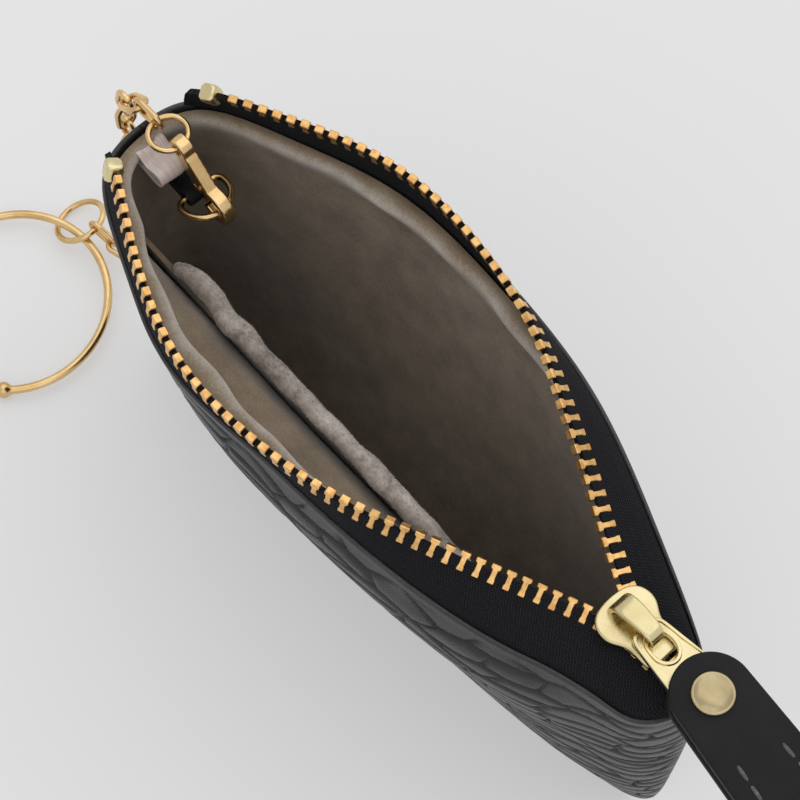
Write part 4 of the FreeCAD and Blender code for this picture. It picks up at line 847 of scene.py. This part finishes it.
PULL, PULL_EYE, PULL_HOLE, PULL_HALF = (48.95, 0.0, 75.095), (3.05, 0), (12.5, 0), 0.65
angles = np.linspace(0, 2 * np.pi, 200, endpoint=False)
c, s = np.cos(angles), np.sin(angles)
eye = np.stack([PULL_EYE[0] + 2.3 * np.sign(c) * np.abs(c) ** 0.9, 1.7 * s], -1)
eye_line = closed_curve(both_sides(((-0.8, 0.8), (-0.75, 2.1), (0.0, 2.75), (2.0, 2.98), (5.0, 3.38),
                                    (9.0, 3.85), (9.0, 3.85), (9.0, 3.85))), 400)
tail_line = closed_curve(both_sides(((8.98, 1.0), (8.98, 3.85), (8.98, 3.85), (8.98, 3.85), (11.8, 4.15),
                                     (14.2, 4.2), (15.6, 3.0), (15.6, 1.0))), 400)
hole = np.stack([PULL_HOLE[0] + 1.56 * c, 1.56 * s], -1)
pull = [washer(by_angle(eye_line, PULL_EYE, angles), by_angle(eye, PULL_EYE, angles),
               -PULL_HALF, PULL_HALF, 0.18, 0.5, 0.34),
        washer(by_angle(tail_line, PULL_HOLE, angles), hole, -PULL_HALF, PULL_HALF, 0.12, 0.3, 0.05)]
piece("pull_plate", [placed(part, PULL) for part in pull], pale_gold, "pull", ["pull_tab"])

# %% [markdown]
# ## Strap and rivet
# Three layers of plain leather are sewn together over the pull and held by a rivet. The layers stay
# separate, so their painted edge shows its lines, and every stitch is a small bar of thread in its dent.
# %% Strap layers
strap_turn = math.radians(-7.0)
STRAP = ((61.45, 0.0, 75.095), (math.cos(strap_turn), math.sin(strap_turn), 0.0),
         (-math.sin(strap_turn), math.cos(strap_turn), 0.0))
NEAR_END, FAR_END, STRAP_RUN, STRAP_HALF = 6.0, 7.5, 40.5, 2.01


def strap_line(margin, start=None):
    """The strap's outline moved in by a margin: round at the rivet, straight sides, a larger round end.

    start, where it is given, cuts the near end off square at that place.
    """
    near, far = NEAR_END - margin, FAR_END - margin
    cap = np.linspace(-np.pi / 2, np.pi / 2, 60)
    side = np.linspace(0, 1, 40)[1:-1, None]
    end = np.stack([STRAP_RUN + far * np.cos(cap), far * np.sin(cap)], -1)
    if start is None:
        begin = np.stack([-near * np.cos(cap), -near * np.sin(cap)], -1)
    else:
        begin = np.stack([np.full(20, start), np.linspace(near, -near, 20)], -1)
    return np.concatenate([end, end[-1] + (begin[0] - end[-1]) * side,
                           begin, begin[-1] + (end[0] - begin[-1]) * side])


def lifted(made):
    """Gives a strap piece its own copy of its mesh."""
    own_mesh(made)


for name, low, high, margin, start in (("top", 0.71, STRAP_HALF, 0.0, None), ("core", -0.71, 0.71, 0.12, 4.3),
                                       ("bottom", -STRAP_HALF, -0.71, 0.0, None)):
    layer = plate(strap_line(margin, start), low, high, 0.4 if start is None else 0.15)
    lifted(piece(name + "_strap_layer", [placed(layer, *STRAP)], plain_leather, "strap",
                 ["strap_" + name]))

# %% Stitches
thread, tree, shader, place = new_finish("strap_thread", screen(74, 73, 75), 0.6, Sheen_Weight=0.3)
ply = noise(tree, place, 2400.0, 3.0)
paint(tree, shader, ply, (0.3, screen(52, 51, 53)), (0.7, screen(104, 102, 102)))
raise_grain(tree, shader, ply, 0.5, 0.0001)
sewn = strap_line(2.65, 8.6)
sewn = np.concatenate([sewn[-38:], sewn[:98]])
stitch_at = np.arange(1.4, run_length(sewn)[-1] - 1.0, 3.2)
stitch = at_length(sewn, stitch_at)
ahead = at_length(sewn, stitch_at + 0.1) - stitch
ahead = np.pad(ahead / np.linalg.norm(ahead, axis=1, keepdims=True), ((0, 0), (0, 1)))
up = np.broadcast_to((0.0, 0.0, 1.0), ahead.shape)
dash = bar(((-1.2, 0.06, 0.1), (-0.95, 0.2, 0.25), (-0.35, 0.28, 0.3), (0.35, 0.28, 0.3),
            (0.95, 0.2, 0.25), (1.2, 0.06, 0.1)), 6, 1.0)
threads = []
for lift in (1.98, -1.98):
    origin = np.pad(stitch, ((0, 0), (0, 1)), constant_values=lift)
    threads.append(placed(copies(dash, np.stack([origin, ahead, up, np.cross(ahead, up)], 1)), *STRAP))
lifted(piece("strap_stitches", threads, thread, "strap"))

# %% Rivet
head = turned(((0, 0), (3.1, 0), (3.12, 0.12), (3.08, 0.28), (2.98, 0.44), (2.86, 0.5), (2.76, 0.48),
               (2.66, 0.52), (2.3, 0.68), (1.7, 0.85), (1.0, 0.97), (0.4, 1.02), (0, 1.03)))
foot = turned(((0, 0), (2.6, 0), (2.79, -0.1), (2.79, -0.35), (2.6, -0.5), (1.2, -0.5), (1.0, -0.35),
               (0, -0.35)))
post = turned(((0, -2.02), (1.48, -2.02), (1.48, 2.02), (0, 2.02)), 32)
lift = np.array((0, 0, STRAP_HALF))
# the cap's darker gold is a painted dark reflection
piece("rivet_head", [placed(placed(head, lift), *STRAP)], rivet_gold_painted_dark, "strap", ["rivet_cap"])
piece("rivet_stem", [placed(placed(foot, -lift), *STRAP), placed(post, *STRAP)], pale_gold, "strap",
      ["rivet_post"])

# %% [markdown]
# ## Tab, ribbon and clasp at the left end
# A leather tab is folded round the bar of a D ring, and a crumpled satin ribbon is caught in the same
# seam. Both are strips carried along a folded path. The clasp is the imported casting: a bevel can't round
# its many short facets, so it is drawn again on a fine grid and evened out.
# %% Tab and ribbon
tab_eye = np.array(joints["tab_ring_swing"]["pos_m"]) / MM
fold = np.linspace(np.pi * 0.62, -np.pi * 0.62, 30)
bend = np.stack([1.12 * np.cos(fold), 1.12 * np.sin(fold)], -1)
leaf = open_curve(((-8.2, 0.5), (-5.0, 0.5), (-2.6, 0.6), (-1.2, 0.98), bend[0]), 24)[:-1]
path = np.concatenate([leaf, bend, leaf[::-1] * (1, -1)])
path = np.stack([path[:, 0], 0 * path[:, 0], path[:, 1]], -1) + tab_eye
piece("ring_tab", [strip(path, (0, 1, 0), 2.38, 0.42)], plain_leather, "case", ["key_tab"])

satin, tree, shader, place = new_finish("satin", screen(214, 199, 191), 0.34, Specular_IOR_Level=0.6,
                                        Sheen_Weight=0.5, Sheen_Roughness=0.3, Anisotropic=0.6)
long_way = add(tree, "Mapping", {"Vector": place, "Scale": (200.0, 5200.0, 200.0)}).outputs["Vector"]
fibres = noise(tree, long_way, 1.0)
paint(tree, shader, fibres, (0.3, screen(196, 178, 170)), (0.7, screen(226, 214, 207)))
raise_grain(tree, shader, fibres, 0.3, 0.0001)
low, high = (np.array(corner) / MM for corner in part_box("satin_loop"))
left, right = low[0], high[0]
ribbon = open_curve(((left + 0.1, 68.7), (left + 1.4, 69.5), (left + 2.6, 67.6), (right - 1.2, 69.6),
                     (right + 0.2, 67.9), (right + 0.1, 66.4), (right - 1.2, 65.7), (left + 2.4, 66.4),
                     (left + 1.2, 65.9), (left + 0.1, 66.1)), 70)
ribbon = np.stack([ribbon[:, 0], np.full(len(ribbon), (low[1] + high[1]) / 2), ribbon[:, 1]], -1)
band = strip(ribbon, (0, 1, 0), 2.6, 0.22, 40, 0.3)
x, y, z = band[0].T
z += 0.28 * np.sin(y * 1.5 + x) + 0.14 * np.sin(y * 2.9 - x * 1.3)
ribbon = piece("satin_ribbon", [band], satin, "case", ["satin_loop"])

# %% D ring and clasp
tilt = math.radians(15.0)
ring_way = np.array((math.cos(tilt), 0, math.sin(tilt)))
quarter = np.linspace(0, np.pi / 2, 9)
corner = np.stack([2.7 + 1.4 * np.sin(quarter), 1.4 - 1.4 * np.cos(quarter)], -1)
bow = np.linspace(0, np.pi, 40)
bow = np.stack([4.1 * np.cos(bow), 2.0 + 4.1 * np.sin(bow)], -1)
straight = np.stack([np.linspace(-2.5, 2.5, 12), np.zeros(12)], -1)
d_line = np.concatenate([straight, corner, bow, corner[::-1] * (-1, 1)])
d_path = tab_eye + d_line[:, :1] * (0, 1, 0) + d_line[:, 1:] * ring_way
piece("d_ring", [wire(d_path, np.cross((0, 1, 0), ring_way), 0.55)], warm_gold, "tab_ring",
      ["tab_ring"])


def softened(node, grid, passes):
    """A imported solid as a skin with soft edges.

    Its volume is drawn on a fine grid, then each point moves half way to the mean of its neighbours,
    a number of times.
    """
    holder = bpy.data.objects.new("soft_copy", frame["nodes"][node].data.copy())
    bpy.context.scene.collection.objects.link(holder)
    redrawn = holder.modifiers.new("grid", "REMESH")
    redrawn.mode = "VOXEL"
    redrawn.voxel_size = grid * MM
    fine = holder.evaluated_get(bpy.context.evaluated_depsgraph_get()).to_mesh()
    points = np.empty(len(fine.vertices) * 3)
    edges = np.empty(len(fine.edges) * 2, int)
    faces = np.empty(len(fine.loops), int)
    fine.vertices.foreach_get("co", points)
    fine.edges.foreach_get("vertices", edges)
    fine.loops.foreach_get("vertex_index", faces)
    bpy.data.objects.remove(holder)
    points, edges = points.reshape(-1, 3) / MM, edges.reshape(-1, 2)
    both = np.concatenate([edges, edges[:, ::-1]])
    amount = np.bincount(both[:, 0])[:, None]
    for _ in range(passes):
        mean = np.stack([np.bincount(both[:, 0], points[both[:, 1], axis]) for axis in range(3)], -1) / amount
        points = (points + mean) / 2
    return points, faces.reshape(-1, 4).tolist(), {}


for name, node, body, grid, passes in (("clasp_casting", "clasp_body", "clasp", 0.12, 16),
                                       ("clasp_gate", "clasp_trigger", "trigger", 0.1, 8),
                                       ("gate_pin", "clasp_pin", "clasp", 0.08, 3),
                                       ("bottom_stop", "zip_bottom_stop", "case", 0.12, 8)):
    piece(name, [softened(node, grid, passes)], warm_gold, body, [node])


# %% [markdown]
# ## Chain, rings and key hoop
# Chain links and rings are bent wire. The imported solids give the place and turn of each, so their own
# points tell the three axes of every link, and a round wire is drawn along a smooth path on those axes.
# %% Chain
def axes_of(node):
    """Middle and axes of a node, longest first: the singular vectors of its points about their mean."""
    mesh = frame["nodes"][node].data
    points = np.empty(len(mesh.vertices) * 3, np.float32)
    mesh.vertices.foreach_get("co", points)
    points = np.unique(np.round(points.reshape(-1, 3) / MM, 3), axis=0).astype(float)
    middle = (points.min(0) + points.max(0)) / 2
    return middle, np.linalg.svd(points - points.mean(0), full_matrices=False)[2]


half_turn = np.linspace(-np.pi / 2, np.pi / 2, 24)
right = np.stack([1.3 + 1.5 * np.cos(half_turn), 1.5 * np.sin(half_turn)], -1)
run = np.stack([np.linspace(1.1, -1.1, 8), np.full(8, 1.5)], -1)
link_line = np.concatenate([right, run, -right, -run])
for number in range(1, 20):
    middle, (long, wide, thin) = axes_of("chain_link_%02d" % number)
    path = middle + link_line[:, :1] * long + link_line[:, 1:] * wide
    piece("link_%02d_wire" % number, [wire(path, thin, 0.5)], warm_gold, "link_%02d" % number,
          ["chain_link_%02d" % number])

# %% Rings
circle = np.linspace(0, 2 * np.pi, 90, endpoint=False)[:, None]
for name, node, body, radius, thick in (("jump_ring", "clasp_ring", "clasp_ring", 3.05, 0.45),
                                        ("small_ring", "hoop_ring", "hoop_ring", 4.6, 0.55)):
    middle, (first, second, axis) = axes_of(node)
    path = middle + radius * (np.cos(circle) * first + np.sin(circle) * second)
    piece(name, [wire(path, axis, thick)], warm_gold, body, [node])

# %% Key hoop and ball
hoop_middle = np.array(joints["hoop_turn"]["pos_m"]) / MM
hoop_axis = np.array(joints["hoop_turn"]["axis"])
ball = (np.array(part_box("hoop_ball")[0]) + np.array(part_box("hoop_ball")[1])) / 2 / MM
to_ball = (ball - hoop_middle) / np.linalg.norm(ball - hoop_middle)
beside = np.cross(hoop_axis, to_ball)
hoop_radius = np.linalg.norm(ball - hoop_middle)
sweep = np.linspace(1.3 / hoop_radius, 2 * np.pi - 1.3 / hoop_radius, 220)[:, None]
path = hoop_middle + hoop_radius * (np.cos(sweep) * to_ball + np.sin(sweep) * beside)
piece("key_hoop_wire", [wire(path, hoop_axis, 0.75, loop=False, sides=20)], warm_gold, "hoop",
      ["key_hoop"])
belly = [(1.45 * math.cos(angle), 1.45 * math.sin(angle)) for angle in np.linspace(-0.85, 0.85, 17)]
bead = turned([(0, -1.4), (0.8, -1.4), (0.86, -1.28), *belly, (0.86, 1.28), (0.8, 1.4), (0, 1.4)], 40)
piece("hoop_bead", [placed(bead, ball, to_ball, hoop_axis)], warm_gold, "hoop", ["hoop_ball"])

# %% [markdown]
# ## Table, light and camera
# The case stands on a pale grey table in soft studio light: an even sky, a large lamp behind it and a weak
# one in front. More light would make the table paler but wash out the case, so the table has a little
# glow that only the camera and reflections see. The camera looks down from the front right with a long
# lens, as the photograph does.
# %% Stage
TABLE_HALF, TABLE_DROP, GLOW = 3, -0.0001, 0.34
table = bpy.data.meshes.new("table")
corners = [(x * TABLE_HALF, y * TABLE_HALF, TABLE_DROP) for x, y in ((-1, -1), (1, -1), (1, 1), (-1, 1))]
table.from_pydata(corners, [], [(0, 1, 2, 3)])
table_top = bpy.data.objects.new("table_top", table)
bpy.context.scene.collection.objects.link(table_top)
pale, tree, shader, place = new_finish("pale_table", screen(180, 180, 180), 0.9, Specular_IOR_Level=0.1,
                                       Emission_Color=(1, 1, 1, 1))
paint(tree, shader, noise(tree, place, 3.0), (0.3, screen(178, 178, 178)), (0.7, screen(182, 182, 182)))
ray = add(tree, "LightPath", {}).outputs
reflected = count(tree, "MAXIMUM", ray["Is Glossy Ray"], ray["Is Transmission Ray"])
seen = count(tree, "MAXIMUM", ray["Is Camera Ray"], reflected)
tree.links.new(count(tree, "MULTIPLY", seen, GLOW), shader.inputs["Emission Strength"])
table.materials.append(pale)

world = bpy.data.worlds.new("studio")
bpy.context.scene.world = world
world.use_nodes = True
sky = world.node_tree.nodes["Background"].inputs
sky["Color"].default_value = (0.985, 0.985, 1.0, 1.0)
sky["Strength"].default_value = 0.76


# %% Lamps and camera
def stand(name, data, place, aim):
    """A lamp or a camera at a place, turned to its aim."""
    holder = bpy.data.objects.new(name, data)
    holder.location = place
    way = Vector(aim) - Vector(place)
    holder.rotation_euler = way.to_track_quat("-Z", "Y").to_euler()
    bpy.context.scene.collection.objects.link(holder)
    return holder


for name, place, size, power in (("back_softbox", (-0.20, 0.46, 1.00), 1.5, 4.0),
                                 ("front_softbox", (0.45, -0.50, 0.80), 0.8, 0.8)):
    lamp = bpy.data.lights.new(name, "AREA")
    lamp.size = size
    lamp.energy = power
    stand(name, lamp, place, (0, 0, 0.05))

EYE, AIM = (0.0959, -0.0877, 0.3910), (0.00065, -0.0019, 0.0739)
camera = bpy.data.cameras.new("camera")
camera.sensor_width = 36.0
camera.lens = 108.0
camera.clip_start = 0.01
bpy.context.scene.camera = stand("camera", camera, EYE, AIM)
bpy.context.scene.view_settings.view_transform = "Standard"

# %% Update the scene
bpy.context.view_layer.update()
